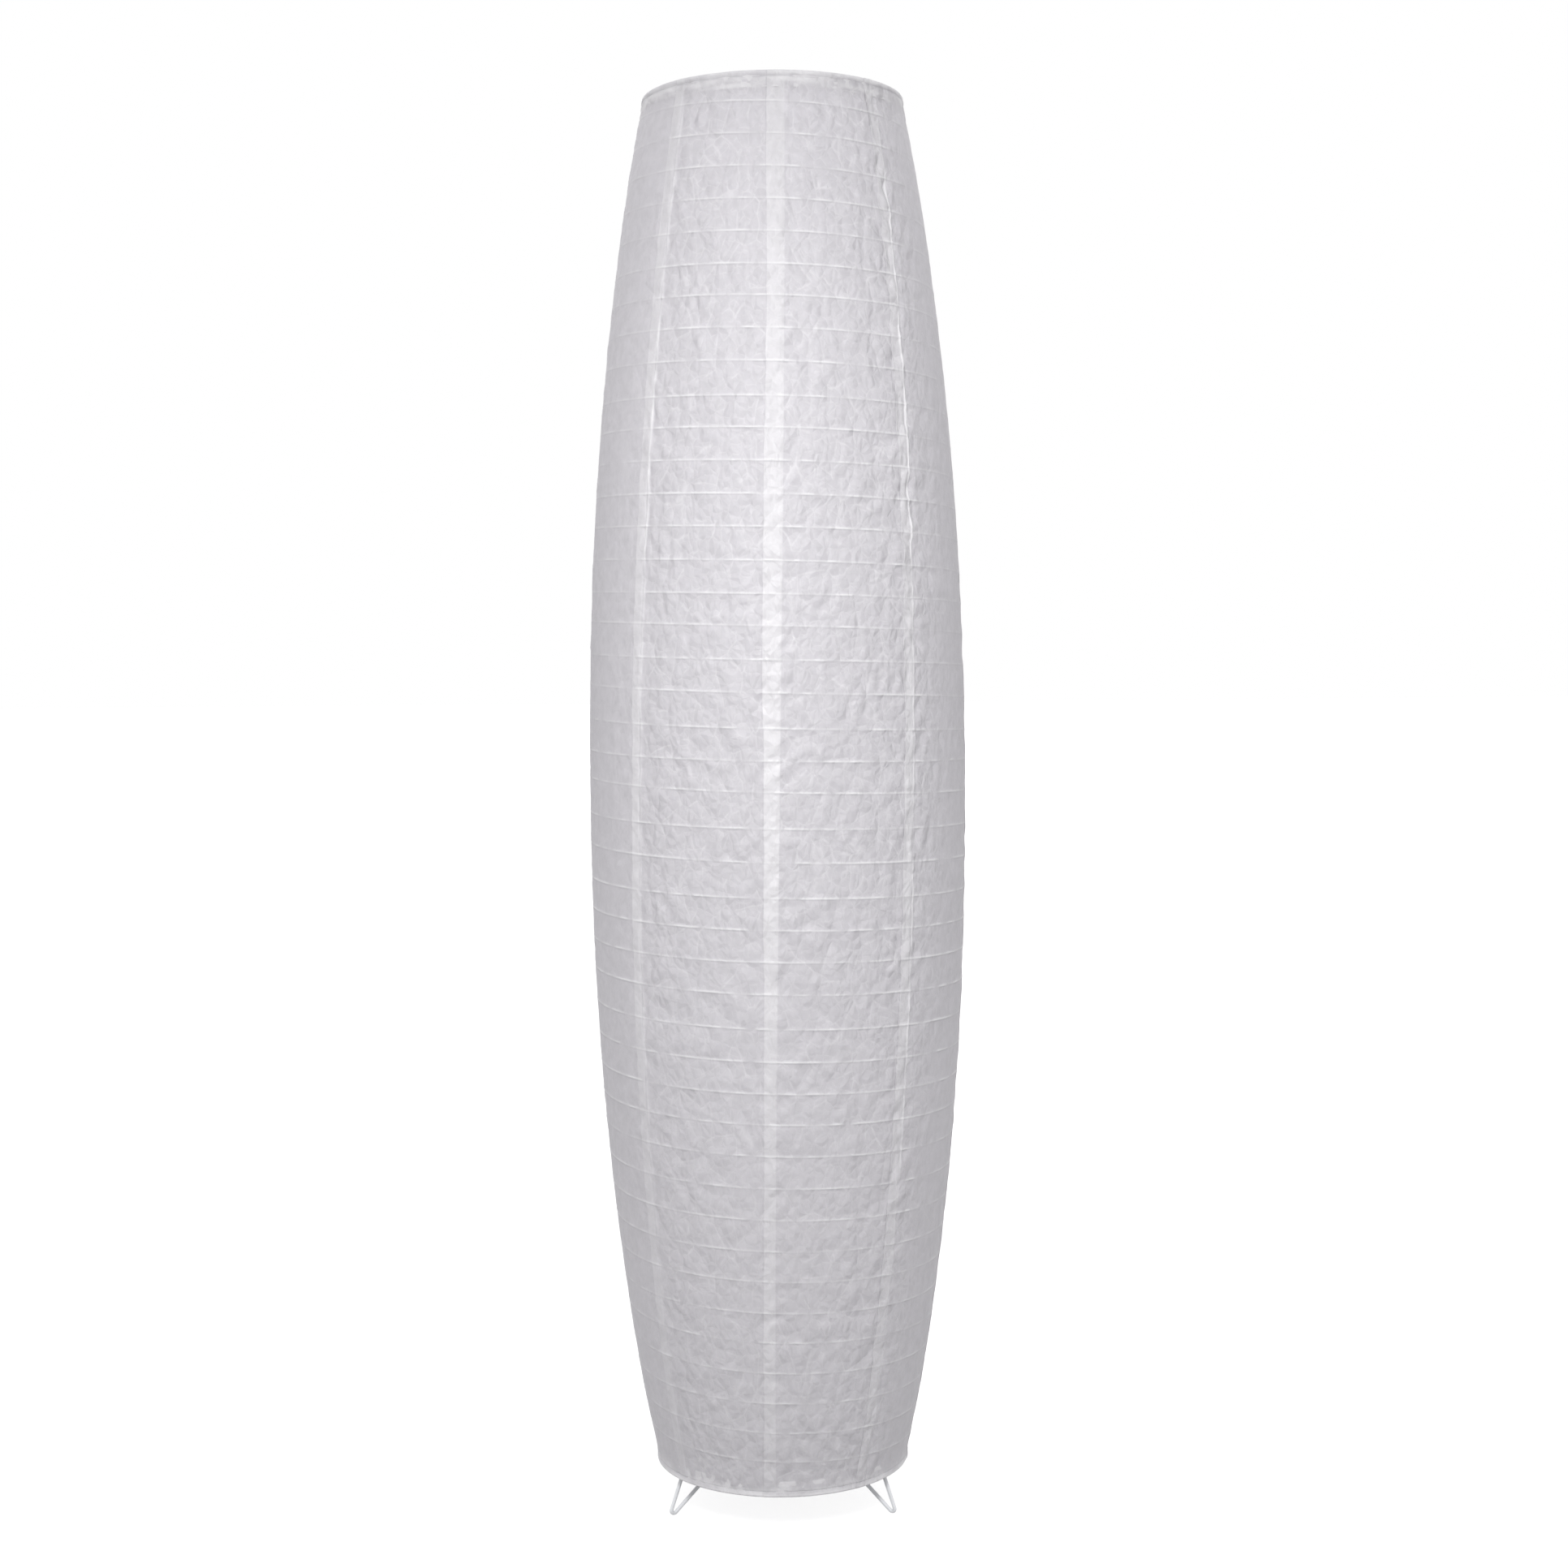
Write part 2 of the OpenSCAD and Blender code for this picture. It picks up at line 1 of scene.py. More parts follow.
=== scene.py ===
import math
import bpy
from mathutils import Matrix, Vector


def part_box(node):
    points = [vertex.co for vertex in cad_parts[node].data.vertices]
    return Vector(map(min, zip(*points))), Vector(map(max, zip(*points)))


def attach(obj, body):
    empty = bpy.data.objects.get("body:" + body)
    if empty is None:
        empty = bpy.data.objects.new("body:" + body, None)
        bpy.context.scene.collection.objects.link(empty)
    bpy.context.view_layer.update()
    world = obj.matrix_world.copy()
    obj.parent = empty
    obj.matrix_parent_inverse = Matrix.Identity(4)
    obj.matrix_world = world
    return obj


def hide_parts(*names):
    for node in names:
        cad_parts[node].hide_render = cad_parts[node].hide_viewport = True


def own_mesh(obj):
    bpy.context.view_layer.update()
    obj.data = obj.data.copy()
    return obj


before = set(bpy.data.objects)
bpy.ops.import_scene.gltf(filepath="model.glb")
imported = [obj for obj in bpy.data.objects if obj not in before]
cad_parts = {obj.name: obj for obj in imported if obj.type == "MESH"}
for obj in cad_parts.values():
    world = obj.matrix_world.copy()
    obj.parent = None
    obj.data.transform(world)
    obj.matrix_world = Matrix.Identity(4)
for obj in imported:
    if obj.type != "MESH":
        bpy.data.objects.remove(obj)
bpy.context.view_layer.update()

from types import SimpleNamespace

import bpy
import numpy as np
from mathutils import Matrix


# ---------------------------------------------------------------- camera
# The photograph's view: about two metres off, a little above the lamp's middle and tilted down.
# The lens, distance and height come from the perspective of the two rims and the feet.
IMAGE_SIDE = 1932
FOCAL_PIXELS = 2849
SENSOR = 36
EYE = (0.0, -2.072, 0.769)
TILT_DOWN = math.radians(3.37)
TURN_RIGHT = math.radians(0.16)
LEAN = math.radians(0.43)

bpy.ops.object.select_all(action="DESELECT")
bpy.ops.object.camera_add()
camera = bpy.context.object
camera.name = "photograph_view"
camera.data.sensor_width = SENSOR
camera.data.lens = FOCAL_PIXELS / IMAGE_SIDE * SENSOR
camera.matrix_world = (
    Matrix.Translation(EYE)
    @ Matrix.Rotation(-TURN_RIGHT, 4, "Z")
    @ Matrix.Rotation(math.pi / 2 - TILT_DOWN, 4, "X")
    @ Matrix.Rotation(-LEAN, 4, "Z")
)
bpy.context.scene.camera = camera


# ---------------------------------------------------------------- paper panels
# Eight long gores of white mulberry paper, each glued to the wound rib wire and lapped over the
# gore before it. The wire stands out as a fine ridge at every turn, the laps show as brighter
# double bands, and the paper between the ribs keeps the creases of its folding. The paper's
# colour also carries painted highlights and painted shade along the ribs, the seams, the
# pressed lines and the rims.
MM = 0.001
PANELS = 8
LAMP_H = 1250 * MM
BOTTOM_Z = 36 * MM
BELLY_Z = 640 * MM
LAP_RISE = 0.6 * MM
BELLY_R = 168 * MM - LAP_RISE
TOP_R = 115.5 * MM - LAP_RISE
BOTTOM_R = 114.5 * MM - LAP_RISE
GIRTH = 2 * math.pi * BELLY_R
SIDE_POWER = 2.15
# The paper is drawn in a little beside each rim, most at this distance from it
DRAWN_AT = 17 * MM
TOP_DRAWN_IN = 1.0 * MM
BOTTOM_DRAWN_IN = 1.8 * MM
SHEET_T = 0.25 * MM

# The front seam's place, its turn at the top rim, and how far round the seams lean from there down
SEAM_AZIMUTH = math.radians(270.8)
TOP_TURN = math.radians(4.3)
TWIST = math.radians(-8.3)
TWIST_POWER = 0.85

# The rib wire's winding: its first and last turn, and how unevenly it was wound between them
RIB_TURNS = 42.75
RIB_START = SEAM_AZIMUTH - math.pi / 2
RIB_FROM_RIM = 19.5 * MM
RIB_TOP = LAMP_H - RIB_FROM_RIM
RIB_LOW = BOTTOM_Z + RIB_FROM_RIM
RIB_WANDER = 1.3 * MM
RIB_DRIFT = 3.5 * MM
DRIFT_PHASE = 0.4

# Random hills and hollows: a square of them for each kind of unevenness. The creases, the facets
# and the tapes take a few squares each, from the first one that is given here.
SEED = 9
LATTICE_SIDE = 256
LATTICE_LAYERS = 80
LAYER = {
    "crease_bend": 0,
    "crease_patch": 8,
    "facet": 20,
    "facet_patch": 24,
    "top_tape": 40,
    "bottom_tape": 44,
    "lap_waver": 60,
    "lap_jog": 61,
    "lap_fray": 62,
    "edge_curl": 63,
    "buckle": 64,
    "fine_buckle": 65,
    "buckle_sway": 66,
    "rib_glue": 67,
    "hem_edge": 69,
    "hem_fold": 70,
    "hem_pucker": 71,
    "lap_fade": 72,
    "hem_streak": 73,
    "fine_streak": 74,
}

lottery = np.random.default_rng(SEED)
lattice = lottery.uniform(-1, 1, (LATTICE_LAYERS, LATTICE_SIDE, LATTICE_SIDE))
turn_marks = np.arange(-1, math.ceil(RIB_TURNS) + 2)
turn_share = turn_marks / RIB_TURNS
wander = lottery.normal(0, RIB_WANDER, len(turn_marks))
drift = RIB_DRIFT * np.sin(2 * np.pi * turn_share - DRIFT_PHASE)
between_rims = np.sin(np.clip(turn_share, 0, 1) * np.pi)
turn_heights = RIB_TOP + (RIB_LOW - RIB_TOP) * turn_share + between_rims * (wander + drift)


def cloudy(u, v, layer, around=LATTICE_SIDE):
    """A smooth random field from -1 to 1, with one hill or hollow to each unit of u and v."""
    u, v = np.broadcast_arrays(np.asarray(u, float), np.asarray(v, float))
    cell_u, cell_v = np.floor(u).astype(int), np.floor(v).astype(int)
    part_u, part_v = ease(u - cell_u), ease(v - cell_v)
    left, right = cell_u % around, (cell_u + 1) % around
    under, over = cell_v % LATTICE_SIDE, (cell_v + 1) % LATTICE_SIDE
    values = lattice[layer]
    low = values[left, under] * (1 - part_u) + values[right, under] * part_u
    high = values[left, over] * (1 - part_u) + values[right, over] * part_u
    return low * (1 - part_v) + high * part_v


def relief(girth_share, v, width, height, layer):
    """The same field laid round the lamp without a break, its hills this wide and this high."""
    around = round(GIRTH / width)
    return cloudy(girth_share * around, v / height, layer, around)


def ease(x):
    """From 0 to 1 in a smooth step as x goes from 0 to 1."""
    x = np.clip(x, 0, 1)
    return x * x * (3 - 2 * x)


def bell(distance, half_width):
    """1 on a line, fading to nothing about two half widths away from it."""
    return np.exp(-((distance / half_width) ** 2))


def side_radius(z):
    """Radius of the paper's outer face at a height."""
    up = np.clip((z - BELLY_Z) / (LAMP_H - BELLY_Z), 0, 1)
    down = np.clip((BELLY_Z - z) / (BELLY_Z - BOTTOM_Z), 0, 1)
    radius = BELLY_R - (BELLY_R - TOP_R) * up**SIDE_POWER - (BELLY_R - BOTTOM_R) * down**SIDE_POWER
    for rim, drawn_in in ((LAMP_H, TOP_DRAWN_IN), (BOTTOM_Z, BOTTOM_DRAWN_IN)):
        near = np.abs(z - rim) / DRAWN_AT
        radius = radius - drawn_in * near * np.exp(1 - near)
    return radius


def twist_at(z):
    """How far the seams and the rib have turned round the lamp at a height."""
    return TOP_TURN + TWIST * np.clip((LAMP_H - z) / (LAMP_H - BOTTOM_Z), 0, 1) ** TWIST_POWER


def rib_height(turn):
    """Height of the rib wire after this many turns from its upper end."""
    return np.interp(turn, turn_marks, turn_heights)


# Straight creases: lean from level, distance from one to the next, and slope of their sides
CREASES = (
    (86, 14 * MM, 0.13),
    (68, 21 * MM, 0.12),
    (112, 18 * MM, 0.13),
    (132, 26 * MM, 0.11),
    (40, 24 * MM, 0.09),
)
# Crumpling: size of the facets, and slope of their sides
FACETS = ((34 * MM, 0.05), (17 * MM, 0.05))


def crumple(girth_share, v):
    """Height of the sharp, short-lived creases that folding leaves in the paper."""
    height = 0
    for number, (lean, spacing, slope) in enumerate(CREASES):
        angle = math.radians(lean)
        around = round(GIRTH * math.sin(angle) / spacing)
        bend = relief(girth_share, v, 1.3 * spacing, 1.3 * spacing, LAYER["crease_bend"] + number)
        across = girth_share * around - v * math.cos(angle) / spacing + 0.5 * bend
        tent = 2 * np.abs(across % 1 - 0.5)
        patch = relief(girth_share, v, 1.5 * spacing, 1.2 * spacing, LAYER["crease_patch"] + number)
        height = height + slope * spacing / 2 * (tent - 0.5) * ease(1.8 * patch + 0.15)
    for number, (facet, slope) in enumerate(FACETS):
        edge = np.abs(relief(girth_share, v, facet, 0.8 * facet, LAYER["facet"] + number))
        patch = relief(girth_share, v, 2.5 * facet, 2 * facet, LAYER["facet_patch"] + number)
        height = height + slope * facet * (edge - 0.35) * ease(1.2 * patch + 0.6)
    return height


# Width of the laps in mm. The front one was trimmed by eye, and its width differs by height in m
LAP_W = 14.6 * MM
LAP_WIDTH = {2: 9.5, 3: 12, 4: 13, 5: 14, 6: 13, 7: 12, 8: 9.0}
TRIMMED_AT = np.array([0.04, 0.13, 0.34, 0.41, 0.55, 0.69, 0.76, 0.90, 1.00, 1.25])
TRIMMED = np.array([10.4, 9.8, 9.9, 10.7, 12.0, 13.4, 15.6, 16.3, 14.9, 14.4])
# Turn of a seam from its even place
SEAM_SHIFT = {2: math.radians(-2.6)}


def lap_width(number, z, band):
    """Width of a panel's lap: it wavers, and jogs a little at each rib."""
    width = np.interp(z, TRIMMED_AT, TRIMMED) if number == 1 else LAP_WIDTH[number]
    jog = 0.35 * lattice[LAYER["lap_jog"]][band, number]
    waver = 0.45 * cloudy(z / (45 * MM), number, LAYER["lap_waver"])
    fray = 0.2 * cloudy(z / (6 * MM), number, LAYER["lap_fray"])
    return (width + jog + waver + fray) * MM


# Rows of a panel: close beside each rib and each rim, wider between
RIB_NEAR = np.array([0.5, 1.1, 2.2]) * MM
RIM_NEAR = np.array([0.35, 0.9, 1.8, 3.0, 4.3, 4.9, 5.5, 6.6, 8.2]) * MM
BAND_ROWS = 7
# Columns: across the lap, over the joggle where the lap steps down, over the sheet, beside the
# next panel's free edge, and on under it
ON_LAP = 1 - np.array([0, 0.05, 0.15, 0.28, 0.42, 0.56, 0.70, 0.84, 0.95])
JOGGLE = np.array([0, 0.5, 1.0, 1.5, 2.0, 2.6, 3.3]) * MM
SHEET_COLUMNS = 50
ON_SHEET = np.linspace(0, 1, SHEET_COLUMNS + 1)[1:]
BEFORE_EDGE = 2 * MM
UNDER_EDGE = np.array([-1.6, -1.0, -0.5, 0.0, 0.6]) * MM
COVERED = np.array([0.7, 0.4, 0.15, 0])
SHORT_OF_SEAM = 0.3 * MM


def band_heights(upper, lower, after, before):
    """Heights of one band's rows, from its upper edge down to just above its lower one."""
    first, last = upper - after[-1], lower + before[-1]
    shares = np.linspace(0, 1, BAND_ROWS + 2)[1:-1, None]
    between = first + (last - first) * shares
    return np.vstack([upper, upper - after[:, None], between, lower + before[::-1, None]])


def panel_grid(number):
    """The places of a panel's grid: rows from rib to rib, columns from its free edge on."""
    follower = number % PANELS + 1
    shift = SEAM_SHIFT.get(number, 0)
    slice_turn = 2 * math.pi / PANELS + SEAM_SHIFT.get(follower, 0) - shift
    slice_girth = GIRTH * slice_turn / (2 * math.pi)
    start = SEAM_AZIMUTH + (number - 1) * 2 * math.pi / PANELS + shift

    # Each column crosses the rib wire at its own heights. The wire starts a quarter turn before
    # the front seam, which is two panels.
    rough = np.concatenate([
        -ON_LAP * LAP_W,
        JOGGLE,
        JOGGLE[-1] + ON_SHEET * (slice_girth - LAP_W - JOGGLE[-1]),
        slice_girth - LAP_W + UNDER_EDGE,
        slice_girth - COVERED * LAP_W,
    ])
    turn = ((number + 1) % PANELS) / PANELS + shift / (2 * math.pi) + rough / GIRTH
    ribs = np.array([rib_height(turn + k) for k in range(math.ceil(RIB_TURNS))])
    edges = np.vstack([np.full_like(turn, LAMP_H), ribs, np.full_like(turn, BOTTOM_Z)])
    rows, band_of_row = [], []
    for this, (above, below) in enumerate(zip(edges[:-1], edges[1:])):
        after = RIM_NEAR if this == 0 else RIB_NEAR
        before = RIM_NEAR if this == len(ribs) else RIB_NEAR
        rows.append(band_heights(above, below, after, before))
        band_of_row += [this] * len(rows[-1])
    z = np.vstack(rows + [edges[-1][None]])
    band = np.array(band_of_row + [len(ribs)])[:, None]
    band_below = np.minimum(band + 1, len(edges) - 1)
    upper = np.take_along_axis(edges, np.broadcast_to(band, z.shape), 0)
    lower = np.take_along_axis(edges, np.broadcast_to(band_below, z.shape), 0)

    # Distance of each place from the seam, along the girth
    on_lap = slice(0, len(ON_LAP))
    on_joggle = slice(on_lap.stop, on_lap.stop + len(JOGGLE))
    on_sheet = slice(on_joggle.stop, on_joggle.stop + SHEET_COLUMNS)
    at_edge = slice(on_sheet.stop, on_sheet.stop + len(UNDER_EDGE))
    covered = slice(at_edge.stop, None)
    radius = side_radius(z)
    slice_width = slice_turn * radius
    lap_here, lap_next = lap_width(number, z, band), lap_width(follower, z, band)
    to_edge = slice_width - lap_next
    sheet_width = to_edge[:, on_sheet] + UNDER_EDGE[0] - BEFORE_EDGE - JOGGLE[-1]
    beside = np.empty_like(z)
    beside[:, on_lap] = -ON_LAP * lap_here[:, on_lap]
    beside[:, on_joggle] = JOGGLE
    beside[:, on_sheet] = JOGGLE[-1] + ON_SHEET * sheet_width
    beside[:, at_edge] = to_edge[:, at_edge] + UNDER_EDGE
    beside[:, covered] = (slice_width - SHORT_OF_SEAM)[:, covered] - COVERED * lap_next[:, :1]
    azimuth = start + beside / radius
    share = (azimuth - SEAM_AZIMUTH) / (2 * math.pi)
    return SimpleNamespace(
        z=z, upper=upper, lower=lower, radius=radius, azimuth=azimuth, share=share,
        degrees=(share * 360 + 180) % 360 - 180,
        beside=beside, slice_width=slice_width, to_edge=to_edge, lap_here=lap_here, lap_next=lap_next,
        from_rim=np.minimum(LAMP_H - z, z - BOTTOM_Z),
    )


# The lap steps down from here over this width, and its free edge curls up
STEP_AT = 0.6 * MM
STEP_W = 1.6 * MM
GLUE_T = 0.06 * MM
CURL = 0.16 * MM
CURL_W = 1.2 * MM
# How high the seam's buckled ridge stands on these panels, by height in m, and its place and form
BUCKLE_AT = np.array([0.04, 0.25, 0.40, 0.55, 0.70, 0.78, 0.83, 0.92, 1.12, 1.19, 1.24])
BUCKLES = {
    2: np.array([0.10, 0.25, 0.60, 0.50, 0.60, 0.60, 0.90, 1.30, 1.30, 0.70, 0.0]) * MM,
    8: np.array([0.10, 0.20, 0.35, 0.30, 0.45, 0.35, 0.60, 0.75, 0.50, 0.50, 0.1]) * MM,
    5: np.array([0.10, 0.20, 0.50, 0.60, 0.50, 0.40, 0.30, 0.20, 0.30, 0.20, 0.0]) * MM,
}
CREST_FROM_SEAM = 1.6 * MM
CREST_SWAY = 1.0 * MM
CREST_W = 1.0 * MM
VALLEY_FROM_CREST = 2.3 * MM
VALLEY_W = 1.2 * MM
VALLEY_SHARE = 0.35


def seam_relief(number, at):
    """How far lap, free edge and buckles stand off the sheet, and the crest of the buckles alone."""
    stepped = (SHEET_T + GLUE_T) * ease((STEP_AT - at.beside) / STEP_W)
    uneven = 0.6 + 0.4 * cloudy(at.z / (20 * MM), number, LAYER["edge_curl"])
    rise = stepped + CURL * bell(at.beside + at.lap_here, CURL_W) * uneven
    if number not in BUCKLES:
        return rise, np.zeros_like(at.z)
    ripple = 0.65 + 0.5 * cloudy(at.z / (22 * MM), 3.5, LAYER["buckle"])
    ripple = np.clip(ripple + 0.3 * cloudy(at.z / (6 * MM), 9.5, LAYER["fine_buckle"]), 0.05, 1.2)
    sway = CREST_SWAY * cloudy(at.z / (18 * MM), number + 0.5, LAYER["buckle_sway"])
    sideways = at.beside - CREST_FROM_SEAM - sway
    near_seam = (at.beside > -0.9 * at.lap_here) & (at.beside < 0.5 * at.slice_width)
    lift = np.interp(at.z, BUCKLE_AT, BUCKLES[number]) * ripple * near_seam
    crest = lift * bell(sideways, CREST_W)
    valley = VALLEY_SHARE * lift * bell(sideways - VALLEY_FROM_CREST, VALLEY_W)
    return rise + crest - valley, crest


# Over the wire the paper stands out in a ridge, and between two ribs it sags a little
RIDGE = 0.34 * MM
RIDGE_W = 0.75 * MM
SAG = 0.08 * MM
SAG_REACH = 9 * MM
# The ribs show less on the panels beside the front two, by turn from the front seam in degrees
FRONT_ENDS = 43
SIDE_ENDS = 100


def firmness(at, edge):
    """How firmly the paper is drawn over the wire at an edge of its band. A rim has no wire."""
    off_front = np.abs(at.degrees)
    aside = ease((off_front - FRONT_ENDS) / 6) * ease((SIDE_ENDS - off_front) / 12)
    high_up = ease((at.z - 500 * MM) / (250 * MM))
    off_floor = ease((at.z - 200 * MM) / (250 * MM))
    patchy = np.clip(0.6 + 0.6 * relief(at.share, edge, 11 * MM, 4 * MM, LAYER["rib_glue"]), 0.1, 1.1)
    is_rib = (edge < LAMP_H - 0.001 * MM) & (edge > RIB_LOW - 1 * MM)
    return (1 - 0.6 * aside * high_up) * (0.62 + 0.38 * off_floor) * patchy * is_rib


# How creased the paper is, by turn from the front seam: most on the two front panels
CREASED_AT = np.array([-180, -95, -60, -46, -38, 0, 38, 46, 60, 95, 180])
CREASED = np.array([0.8, 0.35, 0.25, 0.5, 1.0, 0.9, 1.1, 0.9, 0.35, 0.35, 0.8])
# Creases grow towards the seams within this distance, and fade at the ribs within that one
SEAM_STRAIN = 20 * MM
RIB_CALM = 5 * MM

# The rim's paper turns in over the hoop, and the hem behind it shows as far as this
TURN_IN = 0.9 * MM
TOP_HEM_SHOWS = 14 * MM
BOTTOM_HEM_SHOWS = 9 * MM
HEM_EDGE_W = 1.2 * MM
HEM_EDGE_WAVER = 1.5 * MM
HEM_LIFT = 0.12 * MM
HEM_WRINKLE = 0.8 * MM
# Lines pressed beside the hoop: one at both rims, and a second, weaker one at the bottom. They are
# dented, and darkened in colour with painted shade
PRESSED_AT = 4.9 * MM
PRESSED_TWICE_AT = 8.8 * MM
PRESSED_W = 0.7 * MM
PRESSED_DEPTH = 0.4 * MM


def hem_relief(at):
    """The hem's wrinkles, its pressed lines, where it lies, and how puckered it is."""
    at_top = at.z > BELLY_Z
    puckered = np.where(at_top, 1, 0.3)
    reach = np.where(at_top, TOP_HEM_SHOWS, BOTTOM_HEM_SHOWS)
    waver = HEM_EDGE_WAVER * relief(at.share, at.z, 20 * MM, 1.0, LAYER["hem_edge"])
    in_hem = ease((reach + waver - at.from_rim) / HEM_EDGE_W)
    pressed = bell(at.from_rim - PRESSED_AT, PRESSED_W)
    pressed = pressed + 0.7 * bell(at.from_rim - PRESSED_TWICE_AT, PRESSED_W) * (at.z < BELLY_Z)
    slanting = np.abs(relief(at.share + at.z / 0.9, at.z, 14 * MM, 5 * MM, LAYER["hem_fold"]))
    small = 0.4 * relief(at.share, at.z, 6 * MM, 3 * MM, LAYER["hem_pucker"])
    past_hoop = ease((at.from_rim - 5 * MM) / (2 * MM))
    wrinkle = HEM_WRINKLE * puckered * in_hem * past_hoop * (slanting - 0.4 + small)
    return wrinkle, pressed, in_hem, puckered


# How far a lap's second layer shows through as a lighter band: on each panel, and by height in m.
# The band's lightness is painted by panel and by height to follow how the light falls: it shows
# less towards the bottom, where light from the floor fills the lamp.
LAP_SHOWS = {1: 1.0, 2: 0.8, 3: 0.7, 4: 0.8, 5: 1.0, 6: 0.8, 7: 0.7, 8: 0.75}
SHOWS_AT = np.array([0.04, 0.20, 0.30, 0.42, 0.52, 0.68, 0.85, 1.00, 1.25])
SHOWS = np.array([0.38, 0.40, 0.40, 0.46, 0.62, 0.68, 0.54, 0.48, 0.48])
UNDER_SHOWS = 0.6
# Painted highlights: how far wire, buckle (for each mm of its height) and rim lighten the paper over them
WIRE_HIGHLIGHT = 1.3
WIRE_W = 0.7 * MM
CREST_HIGHLIGHT = 2.0
RIM_HIGHLIGHT = 0.5
RIM_AT = 1.4 * MM
RIM_W = 1.3 * MM


def layers_and_painted_highlights(number, at, firm, crest, in_hem, puckered):
    """How light the paper is for its layers, the lap's band painted by height to follow the light, with
    painted highlights over the wire, the buckle crests and the rim, and slanting streaks in the hem.
    """
    shows = LAP_SHOWS[number] * np.interp(at.z, SHOWS_AT, SHOWS)
    shows = shows * (1 + 0.12 * cloudy(at.z / (10 * MM), number, LAYER["lap_fade"]))
    under = at.beside > at.slice_width - at.lap_next + 0.1 * MM
    layers_and_highlights = np.where(at.beside < 0.2 * MM, shows, 0) + np.where(under, UNDER_SHOWS, 0)
    long_streaks = relief(at.share + at.z / 1.6, at.z, 30 * MM, 2.6 * MM, LAYER["hem_streak"])
    short_streaks = relief(at.share + at.z / 0.7, at.z, 11 * MM, 5 * MM, LAYER["fine_streak"])
    streaks = (0.3 + 0.35 * puckered) * long_streaks + 0.35 * puckered * short_streaks
    layers_and_highlights = np.maximum(layers_and_highlights, in_hem * (0.32 + 0.13 * puckered + streaks))
    wire_highlight_line = firm[0] * bell(at.upper - at.z, WIRE_W) + firm[1] * bell(at.z - at.lower, WIRE_W)
    rim_highlight_line = bell(at.from_rim - RIM_AT, RIM_W)
    return layers_and_highlights + WIRE_HIGHLIGHT * wire_highlight_line + CREST_HIGHLIGHT * crest / MM + RIM_HIGHLIGHT * rim_highlight_line


# Painted shade, with a little glue soak, darkens a hair line under each rib, and one along the next
# panel's free edge, where it shows most near the top
RIB_SHADE_AND_GLUE_BELOW = 1.2 * MM
RIB_SHADE_AND_GLUE_W = 0.55 * MM
EDGE_SHADE_AND_GLUE_BEFORE = 0.45 * MM
EDGE_SHADE_AND_GLUE_W = 0.5 * MM
EDGE_SHADE_AND_GLUE_TOP_Z = 1190 * MM
RIM_SHADE_W = 0.6 * MM


def glue_lines(at, firm, pressed):
    """How much painted shade, with some glue soak, darkens the paper: under each rib, along the next
    panel's free edge, in the pressed lines and at the rim's edge.
    """
    under_rib = firm[0] * bell(at.upper - at.z - RIB_SHADE_AND_GLUE_BELOW, RIB_SHADE_AND_GLUE_W)
    along_edge = bell(at.beside - at.to_edge + EDGE_SHADE_AND_GLUE_BEFORE, EDGE_SHADE_AND_GLUE_W)
    near_top = ease((at.z - EDGE_SHADE_AND_GLUE_TOP_Z) / (30 * MM))
    glue = np.maximum(under_rib, along_edge * (0.15 + 0.5 * near_top))
    return np.maximum(glue, 0.8 * pressed + 0.6 * bell(at.from_rim, RIM_SHADE_W))


def panel_surface(number):
    """Azimuth, radius and height of a panel's grid, and how its layers, painted highlights and painted
    shade show at each place.
    """
    at = panel_grid(number)
    rise, crest = seam_relief(number, at)
    firm = firmness(at, at.upper), firmness(at, at.lower)
    to_upper, to_lower = at.upper - at.z, at.z - at.lower
    near_rib = np.minimum(to_upper, to_lower)
    ridge = RIDGE * (firm[0] * bell(to_upper, RIDGE_W) + firm[1] * bell(to_lower, RIDGE_W))
    sag = SAG * ease(near_rib / SAG_REACH)

    from_seam = np.minimum(np.abs(at.beside), np.abs(at.slice_width - at.beside))
    strained = 0.8 + 0.5 * np.exp(-from_seam / SEAM_STRAIN)
    creased = np.interp(at.degrees, CREASED_AT, CREASED)
    creased = creased * (0.8 + 0.2 * ease((at.z - 360 * MM) / (250 * MM)))
    folds = crumple(at.share, at.z) * strained * creased * (0.25 + 0.75 * ease(near_rib / RIB_CALM))

    wrinkle, pressed, in_hem, puckered = hem_relief(at)
    turned = -TURN_IN * np.clip(1 - at.from_rim / TURN_IN, 0, 1) ** 2
    radius = at.radius + rise + ridge - sag + folds * (1 - 0.7 * in_hem) + turned
    radius = radius - PRESSED_DEPTH * pressed + wrinkle + HEM_LIFT * in_hem
    marks = {
        "layers_and_highlights": layers_and_painted_highlights(number, at, firm, crest, in_hem, puckered),
        "glue": glue_lines(at, firm, pressed),
        "creased": creased,
    }
    return at.azimuth + twist_at(at.z), radius, at.z, marks


